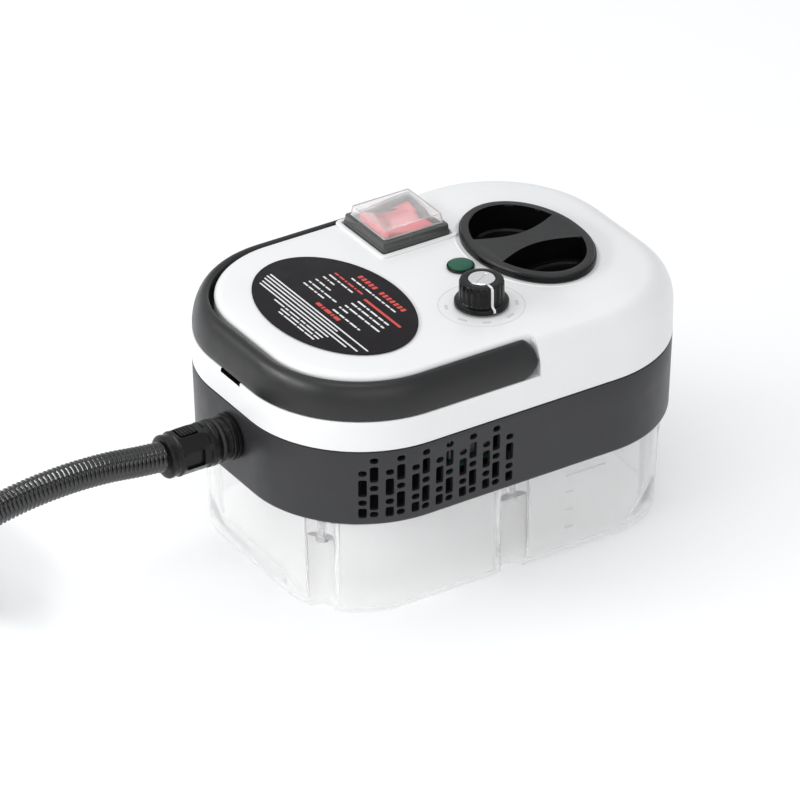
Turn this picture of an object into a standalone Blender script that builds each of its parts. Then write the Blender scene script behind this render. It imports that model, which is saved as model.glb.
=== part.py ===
"""Portable steam cleaner with a clear water tank, a fold-flat carry handle and a hose with a steam gun.

+X runs along the body away from the hose, -Y is the side with the vent grille, +Z is up.
The origin is the middle of the tank's base. Dimensions are in millimetres and every mesh is
scaled to metres when its object is made.
"""

import math

import bmesh
import bpy
from mathutils import Matrix, Vector

MM = 0.001
GAP = 0.3                      # clearance kept between touching pieces
CORNER_STEPS = 6               # segments of each rounded corner in plan

# Body in plan
LENGTH = 207.0
WIDTH = 144.0
CORNER_R = 55.0
HALF_L = LENGTH / 2
HALF_W = WIDTH / 2
WALL = 2.5

# Heights
TANK_TOP_Z = 46.6
BAND_BOTTOM_Z = 48.3
BAND_TOP_Z = 84.85
COVER_BOTTOM_Z = 85.15
SHOULDER_Z = 99.7              # foot of the handle's recess
DOME_EDGE_Z = 116.5
TOP_Z = 117.5
FLOOR_Z = 51.2                 # upper face of the housing's floor
ROOF_Z = 114.5                 # under face of the cover's roof

# Water tank
TANK_BASE_HALF = (94.2, 64.5)
TANK_TOP_HALF = (95.5, 65.5)
TANK_CORNER_R = 40.0
TANK_WALL = 2.2
WELL_R = 6.5                   # screw wells pressed into the tank's wall
WELL_TOP_Z = 38.0
WELLS = [(sx * 88.5, sy * 47.5) for sx in (-1, 1) for sy in (-1, 1)] + [(0.0, -64.0), (0.0, 64.0)]
TANK_SCREWS = [(sx * 86.0, sy * 45.8) for sx in (-1, 1) for sy in (-1, 1)] + [(0.0, -61.0), (0.0, 61.0)]
TANK_SCREW_HOLE_R = 2.1

# Cover
DOME_INSET = 7.0               # how far the dome's rounding comes in along the sides
DOME_INSET_RIGHT = 15.0        # and at the end away from the hose
RECESS_INSET = 8.3
RECESS_INSET_LEFT = 10.3
RECESS_END_X = 8.2
COVER_SCREWS = [(sx * 72.0, sy * 46.0) for sx in (-1, 1) for sy in (-1, 1)]
COVER_SCREW_HEAD_Z = 77.6

# Carry handle
HANDLE_INSET = 7.8
HANDLE_BOTTOM_Z = 100.0
HANDLE_TOP_Z = 116.2
HANDLE_PIVOT = (-1.0, 0.0, 108.1)
HANDLE_PIN_R = 2.5
HANDLE_PIN_HEAD_R = 4.2

# Filler
FILLER_X = 49.0
CAP_HALF = (26.5, 37.5)
PLUG_HALF = (23.9, 34.8)
FUNNEL_IN_HALF = (24.8, 35.7)
FUNNEL_OUT_HALF = (26.0, 36.9)
NECK_R = 11.0
NECK_WALL = 2.0
NECK_BOTTOM_Z = 47.2
CAP_Z = (117.9, 121.2)
PLUG_BOTTOM_Z = 106.0
POCKET_HALF = (20.5, 31.0)
POCKET_BOTTOM_Z = 108.5
GRIP_BAR_HALF = 6.3            # half the grip bar's width at its middle

# Controls on the cover
SWITCH_XY = (8.5, 42.8)
BEZEL_SIZE = (35.0, 34.0, 5.0)
ROCKER_PIVOT_Z = 118.0
ROCKER_TILT = math.radians(8)
LAMP_XY = (13.5, -1.0)
KNOB_XY = (3.3, -33.0)
LABEL_X = -50.6
LABEL_HALF = (31.0, 46.1)
LABEL_THICKNESS = 0.5

# Machine bay
HEATER_CENTRE = (-50.0, 0.0, 67.0)
HEATER_SIZE = (74.0, 50.0, 26.0)
HEATER_POSTS = [(sx * 28.0 - 50.0, sy * 18.0) for sx in (-1, 1) for sy in (-1, 1)]
BOARD_CENTRE = (0.0, -43.0, 56.8)
BOARD_SIZE = (60.0, 25.0, 1.6)
BOARD_POSTS = [(sx * 25.0, BOARD_CENTRE[1] + sy * 9.5) for sx in (-1, 1) for sy in (-1, 1)]
PUMP_Y = 42.0                  # on the side away from the grille, so its tube hangs out of sight
PUMP_Z = 68.0
PUMP_HALF = 31.0               # half the pump's length along X, over its two spigots
SUCTION_X = 50.0               # where the suction tube goes down through the floor
SUCTION_R = 3.0
GLAND_X = 30.0
GLAND_Z = 66.0

# Vent grille: openings listed from the top down as (centre z, height); low ones are round
GRILLE_TALL = [(80.6, 2.8), (73.7, 7.7), (66.8, 2.8), (59.8, 8.0), (53.6, 2.8)]
GRILLE_SHORT = [(74.4, 2.8), (66.9, 8.4), (59.6, 2.8), (54.4, 4.8)]
GRILLE_START = 7.2             # along the wall from the middle of the front to the first column
GRILLE_STEPS = (6.9, 5.0)      # spacing between pairs and inside a pair
GRILLE_COLUMNS = 13
SLOT_WIDTH = 3.3

# Hose
HOSE_Z = 70.0
HOSE_R = 6.75
CONNECTOR_R = 10.2
COIL_CENTRE = (-372.0, 61.0)
COIL_R = 72.0
TAIL_LEAVES_DEG = 75.0         # where the tail leaves the coil, round its centre
TAIL_CLEAR = 47.0              # length of tail that still lies against the coil
TAIL_LENGTH = 62.0

# Steam gun, lying on its side: a runs to the nozzle (-Y), b runs to the grip (-X)
GUN_Z = 15.5
GUN_THICKNESS = 31.0
GRIP_LENGTH = 78.0
GRIP_HALF = 13.5
BARREL_HALF = 14.0
GUN_WALL = 2.3
TRIGGER_PIVOT = (27.0, 8.0)
TRIGGER_PIN_R = 2.0

PARTS = None
CUTTERS = None


# --------------------------------------------------------------------------- scene and objects

def clear_scene():
    for obj in list(bpy.data.objects):
        bpy.data.objects.remove(obj, do_unlink=True)


def new_collection(name):
    collection = bpy.data.collections.new(name)
    bpy.context.scene.collection.children.link(collection)
    return collection


def material(name, colour, roughness=0.5, metallic=0.0, alpha=1.0):
    mat = bpy.data.materials.get(name)
    if mat is None:
        mat = bpy.data.materials.new(name)
        mat.use_nodes = True
        shader = mat.node_tree.nodes["Principled BSDF"]
        shader.inputs["Base Color"].default_value = (*colour, 1.0)
        shader.inputs["Roughness"].default_value = roughness
        shader.inputs["Metallic"].default_value = metallic
        shader.inputs["Alpha"].default_value = alpha
    return mat


def finish_object(name, mesh, mat):
    obj = bpy.data.objects.new(name, mesh)
    if mat is None:
        CUTTERS.objects.link(obj)
        obj.hide_render = True
        obj.display_type = "WIRE"
    else:
        PARTS.objects.link(obj)
        mesh.materials.append(mat)
    return obj


def from_bmesh(name, bm, mat=None, smooth=True):
    """Make an object in metres from a bmesh in millimetres; without a material it is a cutter."""
    bmesh.ops.recalc_face_normals(bm, faces=bm.faces)
    bm.transform(Matrix.Scale(MM, 4))
    mesh = bpy.data.meshes.new(name)
    bm.to_mesh(mesh)
    bm.free()
    if smooth:
        mesh.shade_smooth()
        mesh.set_sharp_from_angle(angle=math.radians(35))
    return finish_object(name, mesh, mat)


def boolean(obj, other, operation="DIFFERENCE"):
    mod = obj.modifiers.new(f"{operation.lower()} {other.name}", "BOOLEAN")
    mod.operation = operation
    mod.object = other
    return mod


def bevel(obj, width, segments=2):
    mod = obj.modifiers.new("rounded edges", "BEVEL")
    mod.width = width * MM
    mod.segments = segments
    mod.limit_method = "ANGLE"
    mod.angle_limit = math.radians(40)
    return mod


def empty_at(name, point):
    empty = bpy.data.objects.new(name, None)
    empty.location = Vector(point) * MM
    PARTS.objects.link(empty)
    return empty


def hang_on(empty, *objects):
    """Parent objects to an empty on their joint's axis, keeping them where they are."""
    for obj in objects:
        obj.parent = empty
        obj.matrix_parent_inverse = Matrix.Translation(empty.location).inverted()


# --------------------------------------------------------------------------- shapes

def rounded_rect(x_low, x_high, half_y, r_low, r_high, z):
    """Ring of a rounded rectangle, counter-clockwise, with its own radius at each end."""
    ring = []
    corners = [(x_high - r_high, 1, r_high, 0), (x_low + r_low, 1, r_low, 90),
               (x_low + r_low, -1, r_low, 180), (x_high - r_high, -1, r_high, 270)]
    for centre_x, side, radius, start in corners:
        centre_y = side * (half_y - radius)
        for step in range(CORNER_STEPS + 1):
            angle = math.radians(start + 90 * step / CORNER_STEPS)
            ring.append((centre_x + radius * math.cos(angle), centre_y + radius * math.sin(angle), z))
    return ring


def body_ring(inset, z):
    radius = CORNER_R - inset
    return rounded_rect(inset - HALF_L, HALF_L - inset, HALF_W - inset, radius, radius, z)


def tank_ring(inset, z):
    share = min(max(z / TANK_TOP_Z, 0.0), 1.0)
    half_x, half_y = (low + (high - low) * share for low, high in zip(TANK_BASE_HALF, TANK_TOP_HALF))
    radius = TANK_CORNER_R - inset
    return rounded_rect(inset - half_x, half_x - inset, half_y - inset, radius, radius, z)


def oval(half, z, centre=(0.0, 0.0), steps=28):
    ring = []
    for step in range(steps):
        angle = 2 * math.pi * step / steps
        ring.append((centre[0] + half[0] * math.cos(angle), centre[1] + half[1] * math.sin(angle), z))
    return ring


def loft(rings, closed=False):
    """Skin a row of rings with equal counts; open rows are capped, closed rows join end to start."""
    bm = bmesh.new()
    rows = [[bm.verts.new(point) for point in ring] for ring in rings]
    pairs = list(zip(rows, rows[1:]))
    if closed:
        pairs.append((rows[-1], rows[0]))
    else:
        bm.faces.new(rows[0])
        bm.faces.new(rows[-1])
    for low, high in pairs:
        for i in range(len(low)):
            j = (i + 1) % len(low)
            bm.faces.new((low[i], low[j], high[j], high[i]))
    return bm


def prism(outline, z_low, z_high):
    """Extrude a flat outline."""
    bm = bmesh.new()
    face = bm.faces.new([bm.verts.new((x, y, z_low)) for x, y in outline])
    top = bmesh.ops.extrude_face_region(bm, geom=[face])["geom"]
    moved = [item for item in top if isinstance(item, bmesh.types.BMVert)]
    bmesh.ops.translate(bm, verts=moved, vec=(0, 0, z_high - z_low))
    return bm


def add_box(bm, centre, size, turn=0.0):
    matrix = Matrix.Translation(centre) @ Matrix.Rotation(turn, 4, "Z") @ Matrix.Diagonal((*size, 1.0))
    bmesh.ops.create_cube(bm, size=1.0, matrix=matrix)


def add_cylinder(bm, start, end, radius, segments=16):
    start, end = Vector(start), Vector(end)
    axis = end - start
    turn = Vector((0, 0, 1)).rotation_difference(axis).to_matrix().to_4x4()
    matrix = Matrix.Translation((start + end) / 2) @ turn
    bmesh.ops.create_cone(bm, cap_ends=True, segments=segments, radius1=radius, radius2=radius,
                          depth=axis.length, matrix=matrix)


def box(name, centre, size, mat=None, round_edges=0.0):
    bm = bmesh.new()
    add_box(bm, centre, size)
    obj = from_bmesh(name, bm, mat, smooth=False)
    if round_edges:
        bevel(obj, round_edges)
    return obj


def cylinder(name, start, end, radius, mat=None, segments=16):
    bm = bmesh.new()
    add_cylinder(bm, start, end, radius, segments)
    return from_bmesh(name, bm, mat)


def turned(name, profile, origin, mat, axis=(0, 0, 1), segments=24, ring=False):
    """Turn (radius, height) points about an axis with a Screw modifier.

    The profile runs down the outer side, top to bottom; a ring's profile is a closed loop.
    """
    bm = bmesh.new()
    verts = [bm.verts.new((radius, 0, height)) for radius, height in profile]
    for first, second in zip(verts, verts[1:]):
        bm.edges.new((first, second))
    if ring:
        bm.edges.new((verts[-1], verts[0]))
    bm.transform(Matrix.Scale(MM, 4))
    mesh = bpy.data.meshes.new(name)
    bm.to_mesh(mesh)
    bm.free()
    obj = finish_object(name, mesh, mat)
    mod = obj.modifiers.new("turn", "SCREW")
    mod.steps = segments
    mod.render_steps = segments
    mod.use_merge_vertices = True
    mod.merge_threshold = 0.00001
    obj.location = Vector(origin) * MM
    obj.rotation_mode = "QUATERNION"
    obj.rotation_quaternion = Vector((0, 0, 1)).rotation_difference(Vector(axis))
    return obj


def smooth_route(points, spacing):
    """Points about one spacing apart on a Catmull-Rom curve through the route's own points."""
    points = [Vector(point) for point in points]
    ends = [2 * points[0] - points[1], *points, 2 * points[-1] - points[-2]]
    route = []
    for p0, p1, p2, p3 in zip(ends, ends[1:], ends[2:], ends[3:]):
        count = max(1, round((p2 - p1).length / spacing))
        for step in range(count):
            t = step / count
            route.append(0.5 * (2 * p1 + (p2 - p0) * t + (2 * p0 - 5 * p1 + 4 * p2 - p3) * t ** 2
                                + (3 * p1 - p0 - 3 * p2 + p3) * t ** 3))
    route.append(points[-1])
    return route


def tube(name, points, radius, mat, resolution=2):
    """A tube along points, with filled and welded caps."""
    curve = bpy.data.curves.new(name, "CURVE")
    curve.dimensions = "3D"
    curve.bevel_depth = radius * MM
    curve.bevel_resolution = resolution
    curve.use_fill_caps = True
    spline = curve.splines.new("POLY")
    spline.points.add(len(points) - 1)
    for target, point in zip(spline.points, points):
        target.co = (*(Vector(point) * MM), 1.0)
    obj = finish_object(name, curve, mat)
    weld = obj.modifiers.new("weld caps", "WELD")
    weld.merge_threshold = 0.00001
    return obj


# --------------------------------------------------------------------------- tank

def make_tank(mats):
    rings = [tank_ring(TANK_WALL + 1, 2.4), tank_ring(TANK_WALL, 3.4), tank_ring(TANK_WALL, TANK_TOP_Z),
             tank_ring(0, TANK_TOP_Z), tank_ring(0, 2.0), tank_ring(1.8, 0.0)]
    tank = from_bmesh("water_tank", loft(rings), mats["clear"])
    wells = bmesh.new()
    cuts = bmesh.new()
    for x, y in WELLS:
        add_cylinder(wells, (x, y, 1.2), (x, y, TANK_TOP_Z - 0.01), WELL_R + TANK_WALL, 18)
        add_cylinder(cuts, (x, y, -2.0), (x, y, WELL_TOP_Z), WELL_R, 18)
    rim = from_bmesh("well_rim_cutter", loft([body_ring(-15, -1), body_ring(-15, 50), tank_ring(0.8, 50),
                                              tank_ring(0.8, -1)], closed=True))
    columns = from_bmesh("well_columns", wells)
    boolean(columns, rim)
    boolean(tank, columns, "UNION")
    boolean(tank, from_bmesh("well_cutters", cuts))
    holes = bmesh.new()
    for x, y in TANK_SCREWS:
        add_cylinder(holes, (x, y, WELL_TOP_Z - 3), (x, y, TANK_TOP_Z + 2), TANK_SCREW_HOLE_R, 10)
    boolean(tank, from_bmesh("tank_screw_holes", holes))


def make_tank_gasket(mats):
    low, high = TANK_TOP_Z + GAP, BAND_BOTTOM_Z - GAP
    rings = [tank_ring(7.5, high), tank_ring(0.2, high), tank_ring(0.2, low), tank_ring(7.5, low)]
    gasket = from_bmesh("tank_gasket", loft(rings, closed=True), mats["rubber"])
    cuts = bmesh.new()
    for x, y in TANK_SCREWS:
        add_cylinder(cuts, (x, y, low - 2), (x, y, high + 2), 2.6, 10)
    boolean(gasket, from_bmesh("gasket_cutters", cuts))


def screw(name, x, y, head_z, length, head_r, shank_r, mat):
    """A screw driven upwards: head_z is the seat of its head, whose lower face has a round recess."""
    profile = [(0, head_z + length), (shank_r, head_z + length), (shank_r, head_z), (head_r, head_z),
               (head_r, head_z - 2.4), (head_r * 0.6, head_z - 2.4), (head_r * 0.35, head_z - 1.4),
               (0, head_z - 1.4)]
    return turned(name, profile, (x, y, 0), mat, segments=10)


# --------------------------------------------------------------------------- housing

def wall_point(along):
    """Point and outward angle on the front wall, measured from its middle towards the hose."""
    straight = HALF_L - CORNER_R
    if along <= straight:
        return -along, -HALF_W, math.radians(-90)
    turn = (along - straight) / CORNER_R
    angle = math.radians(-90) - turn
    return -straight + CORNER_R * math.cos(angle), CORNER_R - HALF_W + CORNER_R * math.sin(angle), angle


def grille_cutter():
    bm = bmesh.new()
    along = GRILLE_START
    for column in range(GRILLE_COLUMNS):
        x, y, angle = wall_point(along)
        inward = Vector((math.cos(angle), math.sin(angle), 0)) * -1.2
        for z, height in (GRILLE_SHORT if column % 2 == 0 else GRILLE_TALL):
            centre = Vector((x, y, z)) + inward
            if height < SLOT_WIDTH:
                reach = Vector((math.cos(angle), math.sin(angle), 0)) * 4
                add_cylinder(bm, centre - reach, centre + reach, height / 2, 8)
            else:
                add_box(bm, centre, (8, SLOT_WIDTH, height), angle)
        along += GRILLE_STEPS[column % 2]
    return from_bmesh("grille_cutter", bm)


def make_housing(mats):
    rings = [body_ring(WALL, FLOOR_Z), body_ring(WALL, BAND_TOP_Z), body_ring(0, BAND_TOP_Z),
             body_ring(1.0, BAND_BOTTOM_Z)]
    housing = from_bmesh("base_housing", loft(rings), mats["dark"])
    root_z = (BAND_BOTTOM_Z + FLOOR_Z) / 2     # the posts start inside the floor
    heater_foot_z = HEATER_CENTRE[2] - HEATER_SIZE[2] / 2 - GAP
    board_foot_z = BOARD_CENTRE[2] - BOARD_SIZE[2] / 2 - GAP
    posts = bmesh.new()
    for places, top_z, radius in ((TANK_SCREWS, 62.0, 4.4), (COVER_SCREWS, BAND_TOP_Z, 5.0),
                                  (HEATER_POSTS, heater_foot_z, 3.0), (BOARD_POSTS, board_foot_z, 2.4)):
        for x, y in places:
            add_cylinder(posts, (x, y, root_z), (x, y, top_z), radius, 12)
    boolean(housing, from_bmesh("housing_posts", posts), "UNION")
    below, above = BAND_BOTTOM_Z - 8, FLOOR_Z + 9
    cuts = bmesh.new()
    for x, y in TANK_SCREWS:
        add_cylinder(cuts, (x, y, below), (x, y, above), TANK_SCREW_HOLE_R, 10)
    for x, y in COVER_SCREWS:
        add_cylinder(cuts, (x, y, below), (x, y, COVER_SCREW_HEAD_Z + 0.4), 3.3, 10)
    add_cylinder(cuts, (FILLER_X, 0, below), (FILLER_X, 0, above), NECK_R + NECK_WALL + GAP, 20)
    add_cylinder(cuts, (SUCTION_X, PUMP_Y, below), (SUCTION_X, PUMP_Y, above), SUCTION_R + 0.4, 12)
    add_cylinder(cuts, (-HALF_L - 5, 0, HOSE_Z), (-HALF_L + 8, 0, HOSE_Z), 9.0, 20)
    add_cylinder(cuts, (GLAND_X, HALF_W + 5, GLAND_Z), (GLAND_X, HALF_W - 8, GLAND_Z), 7.1, 16)
    boolean(housing, from_bmesh("housing_cutters", cuts))
    shanks = bmesh.new()
    for x, y in COVER_SCREWS:
        add_cylinder(shanks, (x, y, 76.0), (x, y, 90.0), 1.9, 10)
    boolean(housing, from_bmesh("cover_screw_cutters", shanks))
    boolean(housing, grille_cutter())


# --------------------------------------------------------------------------- cover

def dome_ring(angle_deg):
    """Outer ring of the dome's rounding: 0 at the shoulder, 90 at the edge of its top."""
    angle = math.radians(angle_deg)
    share = 1 - math.cos(angle)
    z = SHOULDER_Z + (DOME_EDGE_Z - SHOULDER_Z) * math.sin(angle)
    side = DOME_INSET * share
    right = DOME_INSET_RIGHT * share
    return rounded_rect(side - HALF_L, HALF_L - right, HALF_W - side, CORNER_R - side,
                        CORNER_R - 1.3 * side, z)


def cover_rings():
    inner = [rounded_rect(20 - HALF_L, HALF_L - 27, HALF_W - 16, 36, 34, ROOF_Z),
             rounded_rect(13.5 - HALF_L, HALF_L - 20, HALF_W - 12, 42, 40, 109),
             rounded_rect(13 - HALF_L, HALF_L - 13, HALF_W - 11.6, 43, 43, 97.0),
             body_ring(WALL, 95.5), body_ring(WALL, COVER_BOTTOM_Z)]
    outer = [body_ring(0, COVER_BOTTOM_Z)] + [dome_ring(angle) for angle in (0, 18, 36, 54, 72, 90)]
    crown = [rounded_rect(15 - HALF_L, HALF_L - 24, HALF_W - 15, 40, 38, 117.2),
             rounded_rect(19 - HALF_L, HALF_L - 29, HALF_W - 18.8, 36, 34, TOP_Z)]
    return inner + outer + crown


def handle_recess():
    """Cutter for the U-shaped step that the handle lies in."""
    ring = rounded_rect(RECESS_INSET_LEFT - HALF_L, HALF_L, HALF_W - RECESS_INSET,
                        CORNER_R - RECESS_INSET, 20, 0)
    inner = [(x, y) for x, y, z in ring if x < 0]
    edge = HALF_W - RECESS_INSET
    far_x, far_y = -HALF_L - 10, HALF_W + 10
    outline = [(RECESS_END_X, far_y), (far_x, far_y), (far_x, -far_y), (RECESS_END_X, -far_y),
               (RECESS_END_X, -edge)] + inner[::-1] + [(RECESS_END_X, edge)]
    return from_bmesh("recess_cutter", prism(outline, SHOULDER_Z, 130))


def make_cover(mats):
    cover = from_bmesh("top_cover", loft(cover_rings()), mats["white"])
    bosses = bmesh.new()
    for x, y in COVER_SCREWS:
        add_cylinder(bosses, (x, y, 85.5), (x, y, 115.5), 4.2, 12)
    boolean(cover, from_bmesh("cover_bosses", bosses), "UNION")
    boolean(cover, handle_recess())
    boolean(cover, from_bmesh("filler_opening_cutter", loft([
        oval((FUNNEL_OUT_HALF[0] + GAP, FUNNEL_OUT_HALF[1] + GAP), z, (FILLER_X, 0)) for z in (90, 130)])))
    cuts = bmesh.new()
    for x, y in COVER_SCREWS:
        add_cylinder(cuts, (x, y, 80), (x, y, 99), 1.8, 10)
    add_box(cuts, (*SWITCH_XY, 115), (28.5, 24.5, 30))
    add_cylinder(cuts, (*LAMP_XY, 105), (*LAMP_XY, 125), 5.1, 16)
    add_cylinder(cuts, (*KNOB_XY, 105), (*KNOB_XY, 125), 3.7, 14)
    add_box(cuts, (-HALF_L, 0, SHOULDER_Z), (4.0, 15.5, 3.6))
    pin_x, _, pin_z = HANDLE_PIVOT
    counterbores = bmesh.new()
    for side in (-1, 1):
        add_cylinder(cuts, (pin_x, side * 57, pin_z), (pin_x, side * 66, pin_z), HANDLE_PIN_R + GAP, 12)
        add_cylinder(counterbores, (pin_x, side * 52, pin_z), (pin_x, side * 60.1, pin_z),
                     HANDLE_PIN_HEAD_R + GAP, 14)
    boolean(cover, from_bmesh("cover_cutters", cuts))
    boolean(cover, from_bmesh("pin_head_cutters", counterbores))


# --------------------------------------------------------------------------- handle

def handle_section(point, inward, squash):
    """Section of the handle at a point of the body's outline: outer side first, then inner side."""
    profile = [(0.3, HANDLE_BOTTOM_Z)]
    for angle_deg in (10, 28, 46, 62, 76):
        angle = math.radians(angle_deg)
        profile.append((DOME_INSET * (1 - math.cos(angle)) + 0.1,
                        SHOULDER_Z + (DOME_EDGE_Z - SHOULDER_Z) * math.sin(angle)))
    profile += [(HANDLE_INSET - 0.9, HANDLE_TOP_Z), (HANDLE_INSET, HANDLE_TOP_Z - 1.0),
                (HANDLE_INSET, HANDLE_BOTTOM_Z)]
    pivot_z = HANDLE_PIVOT[2]
    return [(point[0] + inward[0] * inset, point[1] + inward[1] * inset, pivot_z + (z - pivot_z) * squash)
            for inset, z in profile]


def handle_stations():
    """Points on the outline from one arm's end round the hose end to the other arm's end."""
    end_r = 8.1
    straight = HALF_L - CORNER_R
    half = []
    for angle_deg in (80, 60, 40, 20, 0):
        angle = math.radians(angle_deg)
        half.append((HANDLE_PIVOT[0] + end_r * math.sin(angle), -HALF_W, 0, 1, math.cos(angle)))
    for step in range(2 * CORNER_STEPS + 1):
        angle = math.radians(90 * step / (2 * CORNER_STEPS))
        half.append((-straight - CORNER_R * math.sin(angle), CORNER_R - HALF_W - CORNER_R * math.cos(angle),
                     math.sin(angle), math.cos(angle), 1.0))
    other = [(x, -y, in_x, -in_y, squash) for x, y, in_x, in_y, squash in half[::-1]]
    return half + other


def make_handle(mats):
    rings = [handle_section((x, y), (in_x, in_y), squash)
             for x, y, in_x, in_y, squash in handle_stations()]
    handle = from_bmesh("carry_handle", loft(rings), mats["dark"])
    x, z = HANDLE_PIVOT[0], HANDLE_PIVOT[2]
    cuts = bmesh.new()
    for side in (-1, 1):
        add_cylinder(cuts, (x, side * 60, z), (x, side * 68.8, z), HANDLE_PIN_R + GAP, 12)
    boolean(handle, from_bmesh("handle_cutters", cuts))
    for name, side in (("handle_pin_front", -1), ("handle_pin_rear", 1)):
        profile = [(0, 0), (HANDLE_PIN_R, 0), (HANDLE_PIN_R, -8.6), (HANDLE_PIN_HEAD_R, -8.6),
                   (HANDLE_PIN_HEAD_R, -10.2), (0, -10.2)]
        turned(name, profile, (x, side * 68.4, z), mats["steel"], axis=(0, side, 0), segments=12)
    hang_on(empty_at("handle_axis", HANDLE_PIVOT), handle)


# --------------------------------------------------------------------------- filler

def filler_oval(half, z, grow=0.0):
    """Oval round the filler's axis; a negative grow makes it smaller all round."""
    return oval((half[0] + grow, half[1] + grow), z, (FILLER_X, 0))


def make_funnel(mats):
    flange_top, flange_bottom = ROOF_Z - GAP, ROOF_Z - 2
    rim_z = TOP_Z - 0.1
    tube_out, tube_in = (NECK_R + NECK_WALL,) * 2, (NECK_R,) * 2
    rings = [filler_oval(FUNNEL_IN_HALF, rim_z), filler_oval(FUNNEL_OUT_HALF, rim_z),
             filler_oval(FUNNEL_OUT_HALF, flange_top), filler_oval(FUNNEL_OUT_HALF, flange_top, 1.5),
             filler_oval(FUNNEL_OUT_HALF, flange_bottom, 1.5), filler_oval(FUNNEL_OUT_HALF, flange_bottom),
             filler_oval(FUNNEL_OUT_HALF, 100), filler_oval(tube_out, 82),
             filler_oval(tube_out, NECK_BOTTOM_Z), filler_oval(tube_in, NECK_BOTTOM_Z),
             filler_oval(tube_in, 83), filler_oval(FUNNEL_IN_HALF, 101)]
    from_bmesh("filler_funnel", loft(rings, closed=True), mats["grey"])


def make_cap(mats):
    under, top = CAP_Z
    rings = [filler_oval(PLUG_HALF, PLUG_BOTTOM_Z), filler_oval(PLUG_HALF, under),
             filler_oval(CAP_HALF, under), filler_oval(CAP_HALF, top - 1.2),
             filler_oval(CAP_HALF, top - 0.35, -0.4),
             filler_oval(CAP_HALF, top, -1.4), filler_oval(CAP_HALF, top, -4.6),
             filler_oval(CAP_HALF, top - 0.8, -5.4)]
    cap = from_bmesh("filler_cap", loft(rings), mats["dark"])
    boolean(cap, cap_pocket_cutter("rear_pocket_cutter", 1))
    boolean(cap, cap_pocket_cutter("front_pocket_cutter", -1))
    seal_low, seal_high = 109.5, 112.5
    low, high = seal_low - GAP, seal_high + GAP
    boolean(cap, from_bmesh("cap_groove_cutter", loft([
        filler_oval(PLUG_HALF, high, 1), filler_oval(PLUG_HALF, low, 1),
        filler_oval(PLUG_HALF, low, -1), filler_oval(PLUG_HALF, high, -1)], closed=True)))
    seal = from_bmesh("cap_seal", loft([
        filler_oval(FUNNEL_IN_HALF, seal_high, -0.35), filler_oval(FUNNEL_IN_HALF, seal_low, -0.35),
        filler_oval(PLUG_HALF, seal_low, -0.7), filler_oval(PLUG_HALF, seal_high, -0.7)],
        closed=True), mats["rubber"])
    hang_on(empty_at("cap_axis", (FILLER_X, 0, under)), cap, seal)


def cap_pocket_cutter(name, side):
    """Half-moon beside the grip bar, whose sides bow inwards towards its middle."""
    half_x, half_y = POCKET_HALF
    outline = []
    for step in range(13):
        angle = math.radians(22 + 136 * step / 12)
        outline.append((half_x * math.cos(angle), half_y * math.sin(angle)))
    left, right = outline[-1], outline[0]
    for step in range(1, 6):
        share = step / 6
        x = left[0] + (right[0] - left[0]) * share
        outline.append((x, left[1] - (left[1] - GRIP_BAR_HALF) * math.sin(math.pi * share)))
    outline = [(FILLER_X + x, side * y) for x, y in outline]
    return from_bmesh(name, prism(outline, POCKET_BOTTOM_Z, 130))


# --------------------------------------------------------------------------- controls

def make_switch(mats):
    x, y = SWITCH_XY
    base = TOP_Z + GAP
    bezel = box("switch_bezel", (x, y, base + BEZEL_SIZE[2] / 2), BEZEL_SIZE, mats["dark"], 0.8)
    boolean(bezel, box("bezel_cutter", (x, y, base), (27.4, 23.4, 30)))
    top = base + BEZEL_SIZE[2] + GAP
    boot = box("switch_boot", (x, y, top + 2.25), (31, 28.5, 4.5), mats["clear"], 0.8)
    boolean(boot, box("boot_cutter", (x, y, top - 1), (29.2, 26.7, 9.3)))
    box("switch_body", (x, y, 105.0), (27.2, 23.2, 16.4), mats["black"], 0.6)
    outline = [(-12, -2.5), (12, -2.5), (12.4, 4.5), (0, 2.2), (-12.4, 4.5)]
    bm = prism(outline, -11.2, 11.2)
    bm.transform(Matrix.Rotation(math.radians(90), 4, "X"))
    bm.transform(Matrix.Rotation(ROCKER_TILT, 4, "Y"))
    bm.transform(Matrix.Translation((x, y, ROCKER_PIVOT_Z)))
    rocker = from_bmesh("switch_rocker", bm, mats["red"], smooth=False)
    hang_on(empty_at("rocker_axis", (x, y, ROCKER_PIVOT_Z)), rocker)


def make_lamp(mats):
    z = TOP_Z + GAP
    turned("lamp_bezel", [(0, z + 1.0), (5.5, z + 1.0), (5.5, z + 1.5), (6.2, z + 1.2), (6.2, z), (4.7, z),
                          (4.7, 104), (0, 104)], (*LAMP_XY, 0), mats["black"])
    turned("lamp_lens", [(0, z + 2.7), (2.6, z + 2.55), (4.4, z + 2.0), (5.1, z + 1.3), (0, z + 1.3)],
           (*LAMP_XY, 0), mats["green"])


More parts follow.
